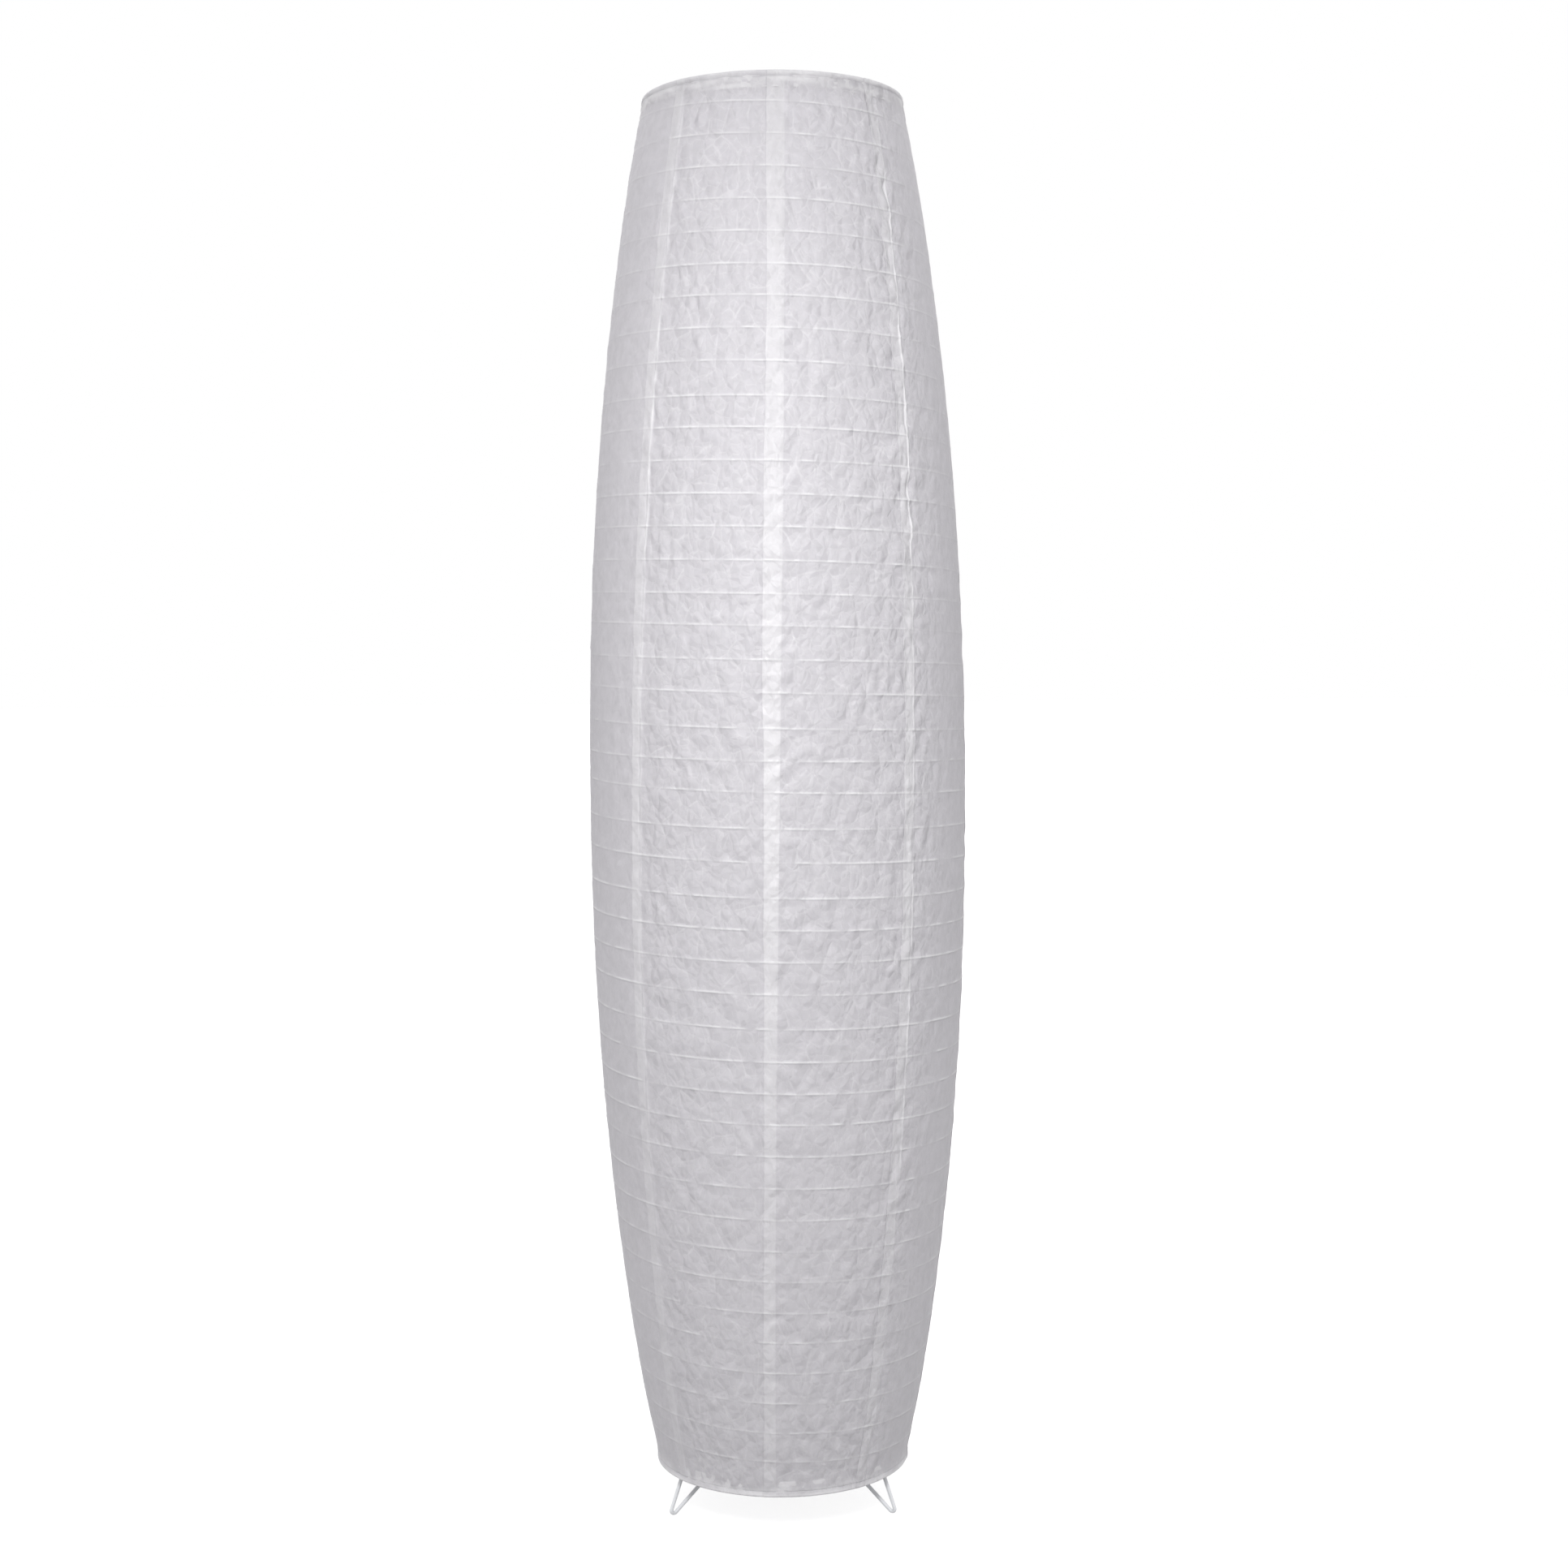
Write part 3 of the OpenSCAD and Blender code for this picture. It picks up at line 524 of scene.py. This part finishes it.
def rolled_sheet(name, surface):
    """A flat sheet with as many rows and columns as the surface has, wrapped onto it."""
    azimuth, radius, z, marks = surface
    rows, columns = z.shape
    bpy.ops.object.select_all(action="DESELECT")
    bpy.ops.mesh.primitive_grid_add(x_subdivisions=columns - 1, y_subdivisions=rows - 1, size=2)
    sheet = bpy.context.object
    sheet.name = name
    flat = np.empty(len(sheet.data.vertices) * 3)
    sheet.data.vertices.foreach_get("co", flat)
    flat = flat.reshape(-1, 3)
    column = np.rint((flat[:, 0] + 1) / 2 * (columns - 1)).astype(int)
    row = rows - 1 - np.rint((flat[:, 1] + 1) / 2 * (rows - 1)).astype(int)
    a, r = azimuth[row, column], radius[row, column]
    wrapped = np.stack([r * np.cos(a), r * np.sin(a), z[row, column]], 1)
    sheet.data.vertices.foreach_set("co", wrapped.ravel())
    for word, values in marks.items():
        mark = sheet.data.attributes.new(word, "FLOAT", "POINT")
        mark.data.foreach_set("value", values[row, column].astype(np.float32))
    sheet.data.update()
    return sheet


def thicken(piece, thickness):
    """Gives a sheet its thickness, inward from its outer face."""
    bpy.context.view_layer.objects.active = piece
    solid = piece.modifiers.new("thickness", "SOLIDIFY")
    solid.thickness = thickness
    solid.offset = -1
    bpy.ops.object.modifier_apply(modifier=solid.name)


def smooth(piece, degrees=35):
    """Shades a piece smooth, but for edges sharper than this."""
    bpy.ops.object.select_all(action="DESELECT")
    piece.select_set(True)
    bpy.context.view_layer.objects.active = piece
    bpy.ops.object.shade_smooth_by_angle(angle=math.radians(degrees))


def new_finish(name):
    """An empty node material: its nodes, its links and its main shader."""
    finish = bpy.data.materials.new(name)
    finish.use_nodes = True
    nodes, links = finish.node_tree.nodes, finish.node_tree.links
    return finish, nodes, links, nodes["Principled BSDF"]


def give(piece, finish):
    """Covers a piece in one finish."""
    piece.data.materials.clear()
    piece.data.materials.append(finish)


def place_pattern(nodes):
    """The piece's own coordinates, in which its patterns lie still."""
    return nodes.new("ShaderNodeTexCoord").outputs["Object"]


def cloud(nodes, links, where, scale, detail=2.0, roughness=0.5, kind="FBM"):
    """A noise pattern at so many cells to the metre."""
    pattern = nodes.new("ShaderNodeTexNoise")
    pattern.noise_type = kind
    pattern.inputs["Scale"].default_value = scale
    pattern.inputs["Detail"].default_value = detail
    pattern.inputs["Roughness"].default_value = roughness
    links.new(where, pattern.inputs["Vector"])
    return pattern.outputs["Fac"]


def blend_colours(nodes, links, share, low, high):
    """A colour between two others, each a plain colour or a socket."""
    mix = nodes.new("ShaderNodeMix")
    mix.data_type = "RGBA"
    for socket, colour in (("A", low), ("B", high)):
        if isinstance(colour, tuple):
            mix.inputs[socket].default_value = (*colour, 1)
        else:
            links.new(colour, mix.inputs[socket])
    links.new(share, mix.inputs["Factor"])
    return mix.outputs["Result"]


def spread(nodes, links, value, low, high, to_low=0.0, to_high=1.0):
    """A value stretched from one range to another."""
    stretch = nodes.new("ShaderNodeMapRange")
    for socket, number in (("From Min", low), ("From Max", high), ("To Min", to_low), ("To Max", to_high)):
        stretch.inputs[socket].default_value = number
    links.new(value, stretch.inputs["Value"])
    return stretch.outputs["Result"]


def combine(nodes, links, operation, first, second):
    """The sum, product or larger of a value and another, which may be a plain number."""
    step = nodes.new("ShaderNodeMath")
    step.operation = operation
    links.new(first, step.inputs[0])
    if isinstance(second, float):
        step.inputs[1].default_value = second
    else:
        links.new(second, step.inputs[1])
    return step.outputs["Value"]


def bump(nodes, links, height, depth, strength, under=None):
    """A fine relief in a finish, laid over another one."""
    dent = nodes.new("ShaderNodeBump")
    dent.inputs["Distance"].default_value = depth
    dent.inputs["Strength"].default_value = strength
    links.new(height, dent.inputs["Height"])
    if under is not None:
        links.new(under, dent.inputs["Normal"])
    return dent.outputs["Normal"]


def mark_on(nodes, word):
    """What a piece's mesh says of itself under this word."""
    mark = nodes.new("ShaderNodeAttribute")
    mark.attribute_name = word
    return mark.outputs["Fac"]


def creases(nodes, links, where, scale, width, tall, place):
    """Straight-edged facets at so many to the metre: their height, and the hair lines between them."""
    warp = nodes.new("ShaderNodeTexNoise")
    warp.inputs["Scale"].default_value = scale * 0.9
    warp.inputs["Detail"].default_value = 1
    links.new(where, warp.inputs["Vector"])
    sway = nodes.new("ShaderNodeVectorMath")
    sway.operation = "MULTIPLY_ADD"
    sway.inputs[1].default_value = (0.3 / scale, 0.3 / scale, 0.3 / scale)
    links.new(warp.outputs["Color"], sway.inputs[0])
    links.new(where, sway.inputs[2])
    stretch = nodes.new("ShaderNodeMapping")
    stretch.inputs["Location"].default_value = (place, 0, 0)
    stretch.inputs["Scale"].default_value = (1, 1, 1 / tall)
    links.new(sway.outputs["Vector"], stretch.inputs["Vector"])
    cells = nodes.new("ShaderNodeTexVoronoi")
    cells.feature = "DISTANCE_TO_EDGE"
    cells.inputs["Scale"].default_value = scale
    links.new(stretch.outputs["Vector"], cells.inputs["Vector"])
    line = spread(nodes, links, cells.outputs["Distance"], 0, width * scale, 1, 0)
    patches = cloud(nodes, links, stretch.outputs["Vector"], scale * 1.8, 1)
    there = spread(nodes, links, patches, 0.44, 0.56)
    return cells.outputs["Distance"], combine(nodes, links, "MULTIPLY", line, there)


# Colour of one layer of paper, of two, and of paper darkened by painted shade and glue soak
SINGLE = (0.818, 0.803, 0.831)
DOUBLE = (0.942, 0.931, 0.950)
GLUED_AND_SHADED = (0.65, 0.64, 0.67)
# Light that passes through one layer, and through two
ONE_LAYER_PASSES = 0.38
TWO_LAYERS_PASS = 0.24
# Creases to the metre, and how deep their facets are for their size
LARGE_CREASES = 48
LARGE_DEPTH = 0.17
SMALL_CREASES = 130
SMALL_DEPTH = 0.21


def shades_of(colour, darker, lighter):
    """Two shades of a colour, for its mottling."""
    return tuple(c * darker for c in colour), tuple(c * lighter for c in colour)


paper, nodes, links, body = new_finish("lantern_paper")
where = place_pattern(nodes)
layers_and_highlights = mark_on(nodes, "layers_and_highlights")
glue = mark_on(nodes, "glue")
creased = mark_on(nodes, "creased")
large, large_line = creases(nodes, links, where, LARGE_CREASES, 0.75 * MM, tall=1.6, place=0)
small, small_line = creases(nodes, links, where, SMALL_CREASES, 0.5 * MM, tall=1.3, place=5)
small_line = combine(nodes, links, "MULTIPLY", small_line, 0.8)
hair = combine(nodes, links, "ADD", large_line, small_line)
hair = combine(nodes, links, "MULTIPLY", hair, creased)

pulp = spread(nodes, links, cloud(nodes, links, where, 120, detail=5, roughness=0.6), 0.35, 0.65)
single = blend_colours(nodes, links, pulp, *shades_of(SINGLE, 0.97, 1.03))
double = blend_colours(nodes, links, pulp, *shades_of(DOUBLE, 0.985, 1.01))
# The layers mark lightens the paper where it lies double, and also carries the painted highlights over the
# wire, the buckle crests and the rims
colour = blend_colours(nodes, links, layers_and_highlights, single, double)
# The crease hair lines lighten the colour: partly the whitening of folded paper, partly a painted
# highlight on the crease ridges
colour = blend_colours(nodes, links, spread(nodes, links, hair, 0, 1, 0, 0.58), colour, DOUBLE)
# Painted shade, with some glue soak, darkens the paper under the ribs, along free edges, in the pressed
# lines and at the rims
colour = blend_colours(nodes, links, spread(nodes, links, glue, 0, 1, 0, 0.6), colour, GLUED_AND_SHADED)
links.new(colour, body.inputs["Base Color"])
body.inputs["Roughness"].default_value = 0.48
body.inputs["Specular IOR Level"].default_value = 0.45

ridged = cloud(nodes, links, where, 70, detail=3, roughness=0.55, kind="RIDGED_MULTIFRACTAL")
ridged = combine(nodes, links, "MULTIPLY", ridged, creased)
crinkled = bump(nodes, links, ridged, 0.6 * MM, 0.85)
large_height = combine(nodes, links, "MULTIPLY", large, LARGE_DEPTH / LARGE_CREASES)
small_height = combine(nodes, links, "MULTIPLY", small, SMALL_DEPTH / SMALL_CREASES)
facet_height = combine(nodes, links, "ADD", large_height, small_height)
facet_height = combine(nodes, links, "MULTIPLY", facet_height, creased)
faceted = bump(nodes, links, facet_height, 1.0, 1.0, crinkled)
folded = bump(nodes, links, hair, 0.15 * MM, 1.0, faceted)
fibres = cloud(nodes, links, where, 900, detail=3, roughness=0.6)
grain = bump(nodes, links, fibres, 0.05 * MM, 0.35, folded)
links.new(grain, body.inputs["Normal"])

glow = nodes.new("ShaderNodeBsdfTranslucent")
links.new(colour, glow.inputs["Color"])
links.new(grain, glow.inputs["Normal"])
through = nodes.new("ShaderNodeMixShader")
passes = spread(nodes, links, layers_and_highlights, 0, 1, ONE_LAYER_PASSES, TWO_LAYERS_PASS)
links.new(passes, through.inputs["Fac"])
links.new(body.outputs["BSDF"], through.inputs[1])
links.new(glow.outputs["BSDF"], through.inputs[2])
links.new(through.outputs["Shader"], nodes["Material Output"].inputs["Surface"])

# Heights of the top hoop and of the bottom hoop, round which the hem tapes are folded
TOP_HOOP_Z = 1248 * MM
BOTTOM_HOOP_Z = 38 * MM

for number in range(1, PANELS + 1):
    panel = rolled_sheet(f"gore_{number}", panel_surface(number))
    thicken(panel, SHEET_T)
    smooth(panel)
    give(panel, paper)
    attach(panel, "shade")
    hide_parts(f"paper_panel_{number}")
    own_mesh(panel)


# ---------------------------------------------------------------- rib wire
# One hard-drawn steel wire, wound on a former and glued down the inside of the paper.
# It springs open and holds the barrel's shape.
RIB_D = 1.2 * MM
RIB_SIDES = 8
RIB_STEPS = 64
RIB_BITE = 0.05 * MM
WINDING_PITCH = 4 * RIB_D

bpy.ops.object.select_all(action="DESELECT")
bpy.ops.mesh.primitive_circle_add(
    vertices=RIB_SIDES, radius=RIB_D / 2, location=(BELLY_R, 0, 0), rotation=(math.pi / 2, 0, 0)
)
rib = bpy.context.object
rib.name = "wound_rib"
bpy.ops.object.transform_apply(location=True, rotation=True, scale=True)
winding = rib.modifiers.new("winding", "SCREW")
winding.angle = 2 * math.pi * RIB_TURNS
winding.steps = winding.render_steps = round(RIB_TURNS * RIB_STEPS)
winding.screw_offset = WINDING_PITCH * RIB_TURNS
winding.use_normal_calculate = True
bpy.ops.object.modifier_apply(modifier=winding.name)

# The even coil is led down the inside of the barrel
coil = np.empty(len(rib.data.vertices) * 3)
rib.data.vertices.foreach_get("co", coil)
coil = coil.reshape(-1, 3)
turn = np.arange(len(coil)) // RIB_SIDES / RIB_STEPS
out = np.hypot(coil[:, 0], coil[:, 1]) - BELLY_R
up = coil[:, 2] - turn * WINDING_PITCH
rib_z = rib_height(turn)
rib_r = side_radius(rib_z) - SHEET_T - RIB_D / 2 + RIB_BITE + out
rib_a = RIB_START + 2 * math.pi * turn + twist_at(rib_z)
wound = np.stack([rib_r * np.cos(rib_a), rib_r * np.sin(rib_a), rib_z + up], 1)
rib.data.vertices.foreach_set("co", wound.ravel())
rib.data.update()
bpy.ops.object.mode_set(mode="EDIT")
bpy.ops.mesh.select_all(action="SELECT")
bpy.ops.mesh.fill_holes(sides=RIB_SIDES)
bpy.ops.mesh.select_all(action="SELECT")
bpy.ops.mesh.normals_make_consistent(inside=False)
bpy.ops.object.mode_set(mode="OBJECT")
smooth(rib, 50)


def mottled(name, mottling, dark, light, roughness, metallic=0.0, clear_coat=0.0, grain=None):
    """A finish with a mottled colour, an even roughness or one that follows it, and a fine grain."""
    finish, nodes, links, body = new_finish(name)
    where = place_pattern(nodes)
    pattern = cloud(nodes, links, where, *mottling)
    links.new(blend_colours(nodes, links, pattern, dark, light), body.inputs["Base Color"])
    if isinstance(roughness, tuple):
        links.new(spread(nodes, links, pattern, 0.3, 0.7, *roughness), body.inputs["Roughness"])
    else:
        body.inputs["Roughness"].default_value = roughness
    body.inputs["Metallic"].default_value = metallic
    body.inputs["Coat Weight"].default_value = clear_coat
    if grain is not None:
        grain_pattern, depth, strength = grain
        fine = cloud(nodes, links, where, *grain_pattern)
        links.new(bump(nodes, links, fine, depth, strength), body.inputs["Normal"])
    return finish


bright_wire = mottled(
    "drawn_steel_wire",
    mottling=(400, 3, 0.6),
    dark=(0.50, 0.51, 0.52),
    light=(0.66, 0.67, 0.68),
    roughness=(0.28, 0.42),
    metallic=1.0,
    grain=((2500, 2), 0.02 * MM, 0.3),
)
give(rib, bright_wire)
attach(rib, "shade")
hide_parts("rib_wire")
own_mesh(rib)


# ---------------------------------------------------------------- hems
# A paper tape is folded over each rim's hoop and glued to the inside of the gores. Its free
# edge puckers where it is drawn in to the smaller circle, and the top one is notched at the
# spider's arms.
SIDES = {"front_left": 210, "front_right": 330, "rear": 90}
HOOP_D = 3 * MM
HEM_T = 0.2 * MM
HEM_H = 14 * MM
HEM_COLUMNS = 481
FOLD_R = HOOP_D / 2 + 0.06 * MM + HEM_T
HEM_LEG = HEM_H - FOLD_R
BEHIND_PAPER = 0.25 * MM
PUCKER = 0.5 * MM
DRAWN_OUT = 1.2 * MM
RAGGED = 0.8 * MM
NOTCH_HALF = 3.4 * MM
NOTCH_SHARE = 0.93
TAPE_SHOWS = 0.8
TAPE_CREASED = 0.5


def hem_surface(hoop_r, hoop_z, up, layer, arms=()):
    """A tape folded over a hoop: down its outer leg, round the wire and down its inner leg."""
    azimuth = np.linspace(0, 2 * math.pi, HEM_COLUMNS)[None, :]
    share = azimuth / (2 * math.pi)
    pucker = relief(share, 3.5, 16 * MM, 1, layer) + 0.5 * relief(share, 7.5, 7 * MM, 1, layer + 1)
    ragged = RAGGED * relief(share, 1.5, 28 * MM, 1, layer + 2)
    notch = 0
    for arm in arms:
        notch = notch + np.exp(-((hoop_r * (azimuth - math.radians(arm)) / NOTCH_HALF) ** 6))
    rows_r, rows_z = [], []
    for down in np.linspace(HEM_LEG, 0, 7)[:-1]:
        tail = hoop_z - up * down
        rows_r.append(np.full(azimuth.shape, side_radius(tail) - SHEET_T - BEHIND_PAPER))
        rows_z.append(np.full(azimuth.shape, tail))
    for a in np.radians(np.arange(0, 181, 15)):
        rows_r.append(np.full(azimuth.shape, hoop_r + FOLD_R * math.cos(a)))
        rows_z.append(np.full(azimuth.shape, hoop_z + up * FOLD_R * math.sin(a)))
    for down in np.linspace(0, HEM_LEG, 9)[1:]:
        loose = down / HEM_LEG
        rows_r.append(hoop_r - FOLD_R + PUCKER * loose * pucker + DRAWN_OUT * loose**2)
        rows_z.append(hoop_z - up * (down + loose * ragged) * (1 - NOTCH_SHARE * notch))
    radius, z = np.vstack(rows_r), np.vstack(rows_z)
    radius[:, -1], z[:, -1] = radius[:, 0], z[:, 0]
    azimuth = np.repeat(azimuth, len(z), 0)
    if up < 0:
        azimuth = azimuth[:, ::-1]
    marks = {
        "layers_and_highlights": np.full_like(z, TAPE_SHOWS),
        "glue": np.zeros_like(z),
        "creased": np.full_like(z, TAPE_CREASED),
    }
    return azimuth, radius, z, marks


def close_ring(piece):
    """Joins the two ends of a tape that has come full circle."""
    bpy.context.view_layer.objects.active = piece
    bpy.ops.object.mode_set(mode="EDIT")
    bpy.ops.mesh.select_all(action="SELECT")
    bpy.ops.mesh.remove_doubles(threshold=0.01 * MM)
    bpy.ops.object.mode_set(mode="OBJECT")


for rim, hoop_z, up, body_name, arms in (
    ("top", TOP_HOOP_Z, 1, "shade", SIDES.values()),
    ("bottom", BOTTOM_HOOP_Z, -1, "shade_bottom", ()),
):
    hoop_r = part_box(f"{rim}_hoop")[1].x - HOOP_D / 2
    tape = rolled_sheet(f"{rim}_hem_tape", hem_surface(hoop_r, hoop_z, up, LAYER[f"{rim}_tape"], arms))
    close_ring(tape)
    thicken(tape, HEM_T)
    smooth(tape)
    give(tape, paper)
    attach(tape, body_name)
    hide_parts(f"{rim}_hem")


# ---------------------------------------------------------------- hoops and spider
# Spring steel hoops lie in the hems. Three straight wires and a ring, spot welded under the
# top hoop, carry the shade.
for node in ("top_hoop", "bottom_hoop", "spider_ring"):
    give(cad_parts[node], bright_wire)
for side in SIDES:
    give(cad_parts[f"spider_arm_{side}"], bright_wire)


# ---------------------------------------------------------------- nylon cups and gland
# White moulded nylon: three cups snap on the spider's arms and drop over the rods' tips, and
# the gland screws on the threaded pipe where a cord comes in.
nylon = mottled(
    "moulded_nylon",
    mottling=(180, 3),
    dark=(0.80, 0.80, 0.80),
    light=(0.88, 0.88, 0.87),
    roughness=0.55,
    grain=((1800, 2), 0.03 * MM, 0.3),
)
for node in ("rod_cups", "cord_gland"):
    give(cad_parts[node], nylon)


# ---------------------------------------------------------------- uprights, legs and plate
# Steel wire and tube with a white powder coat, which flows into a faint orange peel as it is
# baked on. The legs' wires are welded to the ring and the plate.
coat = mottled(
    "white_powder_coat",
    mottling=(60, 3),
    dark=(0.81, 0.825, 0.85),
    light=(0.88, 0.89, 0.915),
    roughness=(0.30, 0.42),
    clear_coat=0.15,
    grain=((700, 2, 0.4), 0.05 * MM, 0.35),
)
for node in ("base_ring", "holder_plate", "lower_ferrules", "upper_ferrules", "rod_tips"):
    give(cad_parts[node], coat)
for side in SIDES:
    for part in ("leg", "lower_rod", "middle_rod", "upper_rod"):
        give(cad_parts[f"{part}_{side}"], coat)


# ---------------------------------------------------------------- pipe, nut, washer and screws
# Zinc plated steel, turned and pressed. The plate's crystals show as a faint blue and yellow
# mottling.
zinc = mottled(
    "zinc_plate",
    mottling=(500, 4, 0.7),
    dark=(0.56, 0.58, 0.60),
    light=(0.70, 0.69, 0.64),
    roughness=(0.22, 0.40),
    metallic=1.0,
)
for node in ("nipple", "nipple_nut", "nipple_washer", "terminal_screws"):
    give(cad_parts[node], zinc)


# ---------------------------------------------------------------- lamp holder
# Two halves of white thermoset screw together round an unglazed ceramic insert, which carries
# the brass sleeve with its rolled thread and the two stamped contacts.
thermoset = mottled(
    "white_thermoset",
    mottling=(90, 3),
    dark=(0.77, 0.77, 0.76),
    light=(0.83, 0.83, 0.82),
    roughness=(0.26, 0.36),
    grain=((900, 2), 0.02 * MM, 0.25),
)
for node in ("holder_cap", "holder_body"):
    give(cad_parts[node], thermoset)

ceramic = mottled(
    "unglazed_ceramic",
    mottling=(700, 4, 0.7),
    dark=(0.76, 0.74, 0.70),
    light=(0.86, 0.85, 0.81),
    roughness=0.8,
    grain=((700, 4, 0.7), 0.05 * MM, 0.5),
)
give(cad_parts["holder_insert"], ceramic)

brass = mottled(
    "stamped_brass",
    mottling=(150, 4, 0.6),
    dark=(0.60, 0.44, 0.18),
    light=(0.78, 0.62, 0.30),
    roughness=(0.22, 0.38),
    metallic=1.0,
)
for node in ("centre_contact", "side_contact"):
    give(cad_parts[node], brass)

THREAD_PITCH = 3.6 * MM
THREAD_RUN_OUT = 1.2 * MM
THREAD_ROW = 0.3 * MM
THREAD_COLUMNS = 97
STRIP_T = 0.3 * MM


def threaded_wall(node, depth, plain_low, plain_high, cone_h, cone_in):
    """A wall in a node's place with a rolled thread, plain at both ends, and coned in at its foot."""
    low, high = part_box(node)
    rows = round((high.z - low.z) / THREAD_ROW) + 1
    z = np.linspace(high.z, low.z, rows)[:, None]
    azimuth = np.linspace(0, 2 * math.pi, THREAD_COLUMNS)[None, :]
    z, azimuth = np.broadcast_arrays(z, azimuth)
    starts = ease((z - low.z - plain_low) / THREAD_RUN_OUT)
    ends = ease((high.z - plain_high - z) / THREAD_RUN_OUT)
    groove = 0.5 - 0.5 * np.cos(2 * math.pi * z / THREAD_PITCH - azimuth)
    cone = cone_in * np.clip(1 - (z - low.z) / cone_h, 0, 1) if cone_h else 0
    return azimuth, high.x - depth * groove * starts * ends - cone, z, {}


def roll_thread(name, node, finish, depth, plain_low, plain_high, cone_h=0.0, cone_in=0.0):
    """A thin metal strip rolled to a threaded ring, in the place of a plain one."""
    ring = rolled_sheet(name, threaded_wall(node, depth, plain_low, plain_high, cone_h, cone_in))
    close_ring(ring)
    thicken(ring, STRIP_T)
    smooth(ring)
    give(ring, finish)
    return ring


sleeve = roll_thread("rolled_sleeve", "thread_sleeve", brass, 0.45 * MM, 0.5 * MM, 0.5 * MM)
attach(sleeve, "frame")
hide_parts("thread_sleeve")


# ---------------------------------------------------------------- bulb
# A lamp bulb of the household kind: opal globe, white moulded housing, and a bright aluminium
# screw cap with a black insulator at its foot.
opal = mottled(
    "opal_globe",
    mottling=(40, 2),
    dark=(0.81, 0.81, 0.79),
    light=(0.85, 0.85, 0.835),
    roughness=0.42,
    grain=((1500, 2), 0.01 * MM, 0.3),
)
give(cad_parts["bulb_diffuser"], opal)
give(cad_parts["bulb_housing"], thermoset)

aluminium = mottled(
    "bright_aluminium",
    mottling=(300, 3, 0.6),
    dark=(0.72, 0.73, 0.74),
    light=(0.82, 0.82, 0.82),
    roughness=(0.20, 0.34),
    metallic=1.0,
)
give(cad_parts["bulb_contact"], aluminium)
cap = roll_thread(
    "rolled_cap", "bulb_cap", aluminium, 0.85 * MM, 2.5 * MM, 3.5 * MM, cone_h=3.0 * MM, cone_in=2.4 * MM
)
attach(cap, "bulb")
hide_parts("bulb_cap")

insulator_black = mottled(
    "black_insulator",
    mottling=(250, 3),
    dark=(0.010, 0.010, 0.012),
    light=(0.030, 0.030, 0.034),
    roughness=0.2,
)
give(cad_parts["bulb_insulator"], insulator_black)


# ---------------------------------------------------------------- floor, light and background
# A plain white floor that keeps the lamp's shadow, a soft round key lamp above the camera, a
# weak fill from behind, and an even white surround.
FLOOR_SIDE = 60
FLOOR_TONE = 0.39
FLOOR_LIFT = 0.84
KEY_PLACE = (-0.12, -1.5, 1.35)
KEY_DOWN = math.radians(30)
KEY_ASIDE = math.radians(4.6)
KEY_WATTS = 59.3
KEY_CONE = math.radians(76)
KEY_RADIUS = 0.2
FILL_STRENGTH = 0.30
FILL_HEIGHT = math.radians(40)
FILL_ANGLE = math.radians(80)
SURROUND = 0.77
WHITE = (1, 1, 1, 1)


def seen_by(nodes, links, *rays):
    """1 where the background or the floor is seen by one of these kinds of ray."""
    path = nodes.new("ShaderNodeLightPath")
    seen = path.outputs[rays[0]]
    for ray in rays[1:]:
        seen = combine(nodes, links, "MAXIMUM", seen, path.outputs[ray])
    return seen


bpy.ops.object.select_all(action="DESELECT")
bpy.ops.mesh.primitive_grid_add(x_subdivisions=4, y_subdivisions=4, size=FLOOR_SIDE)
floor = bpy.context.object
floor.name = "studio_floor"
ground, nodes, links, body = new_finish("studio_floor")
body.inputs["Base Color"].default_value = (FLOOR_TONE, FLOOR_TONE, FLOOR_TONE, 1)
body.inputs["Roughness"].default_value = 1.0
body.inputs["Specular IOR Level"].default_value = 0.0
body.inputs["Emission Color"].default_value = WHITE
seen = seen_by(nodes, links, "Is Camera Ray", "Is Glossy Ray")
links.new(combine(nodes, links, "MULTIPLY", seen, FLOOR_LIFT), body.inputs["Emission Strength"])
give(floor, ground)

bpy.ops.object.select_all(action="DESELECT")
bpy.ops.object.light_add(type="SPOT", location=KEY_PLACE, rotation=(math.pi / 2 - KEY_DOWN, 0, -KEY_ASIDE))
key = bpy.context.object
key.name = "soft_key"
key.data.energy = KEY_WATTS
key.data.spot_size = KEY_CONE
key.data.spot_blend = 1.0
key.data.shadow_soft_size = KEY_RADIUS

bpy.ops.object.select_all(action="DESELECT")
bpy.ops.object.light_add(type="SUN", location=(0, 3, 3), rotation=(FILL_HEIGHT - math.pi / 2, 0, 0))
fill = bpy.context.object
fill.name = "back_fill"
fill.data.energy = FILL_STRENGTH * math.pi
fill.data.angle = FILL_ANGLE

world = bpy.data.worlds.new("studio")
bpy.context.scene.world = world
world.use_nodes = True
nodes, links = world.node_tree.nodes, world.node_tree.links
light = nodes["Background"]
light.inputs["Color"].default_value = WHITE
light.inputs["Strength"].default_value = SURROUND
white = nodes.new("ShaderNodeBackground")
white.inputs["Color"].default_value = WHITE
white.inputs["Strength"].default_value = 1.0
choice = nodes.new("ShaderNodeMixShader")
seen = seen_by(nodes, links, "Is Camera Ray", "Is Glossy Ray", "Is Transmission Ray")
links.new(seen, choice.inputs["Fac"])
links.new(light.outputs["Background"], choice.inputs[1])
links.new(white.outputs["Background"], choice.inputs[2])
links.new(choice.outputs["Shader"], nodes["World Output"].inputs["Surface"])

bpy.context.scene.view_settings.view_transform = "Standard"
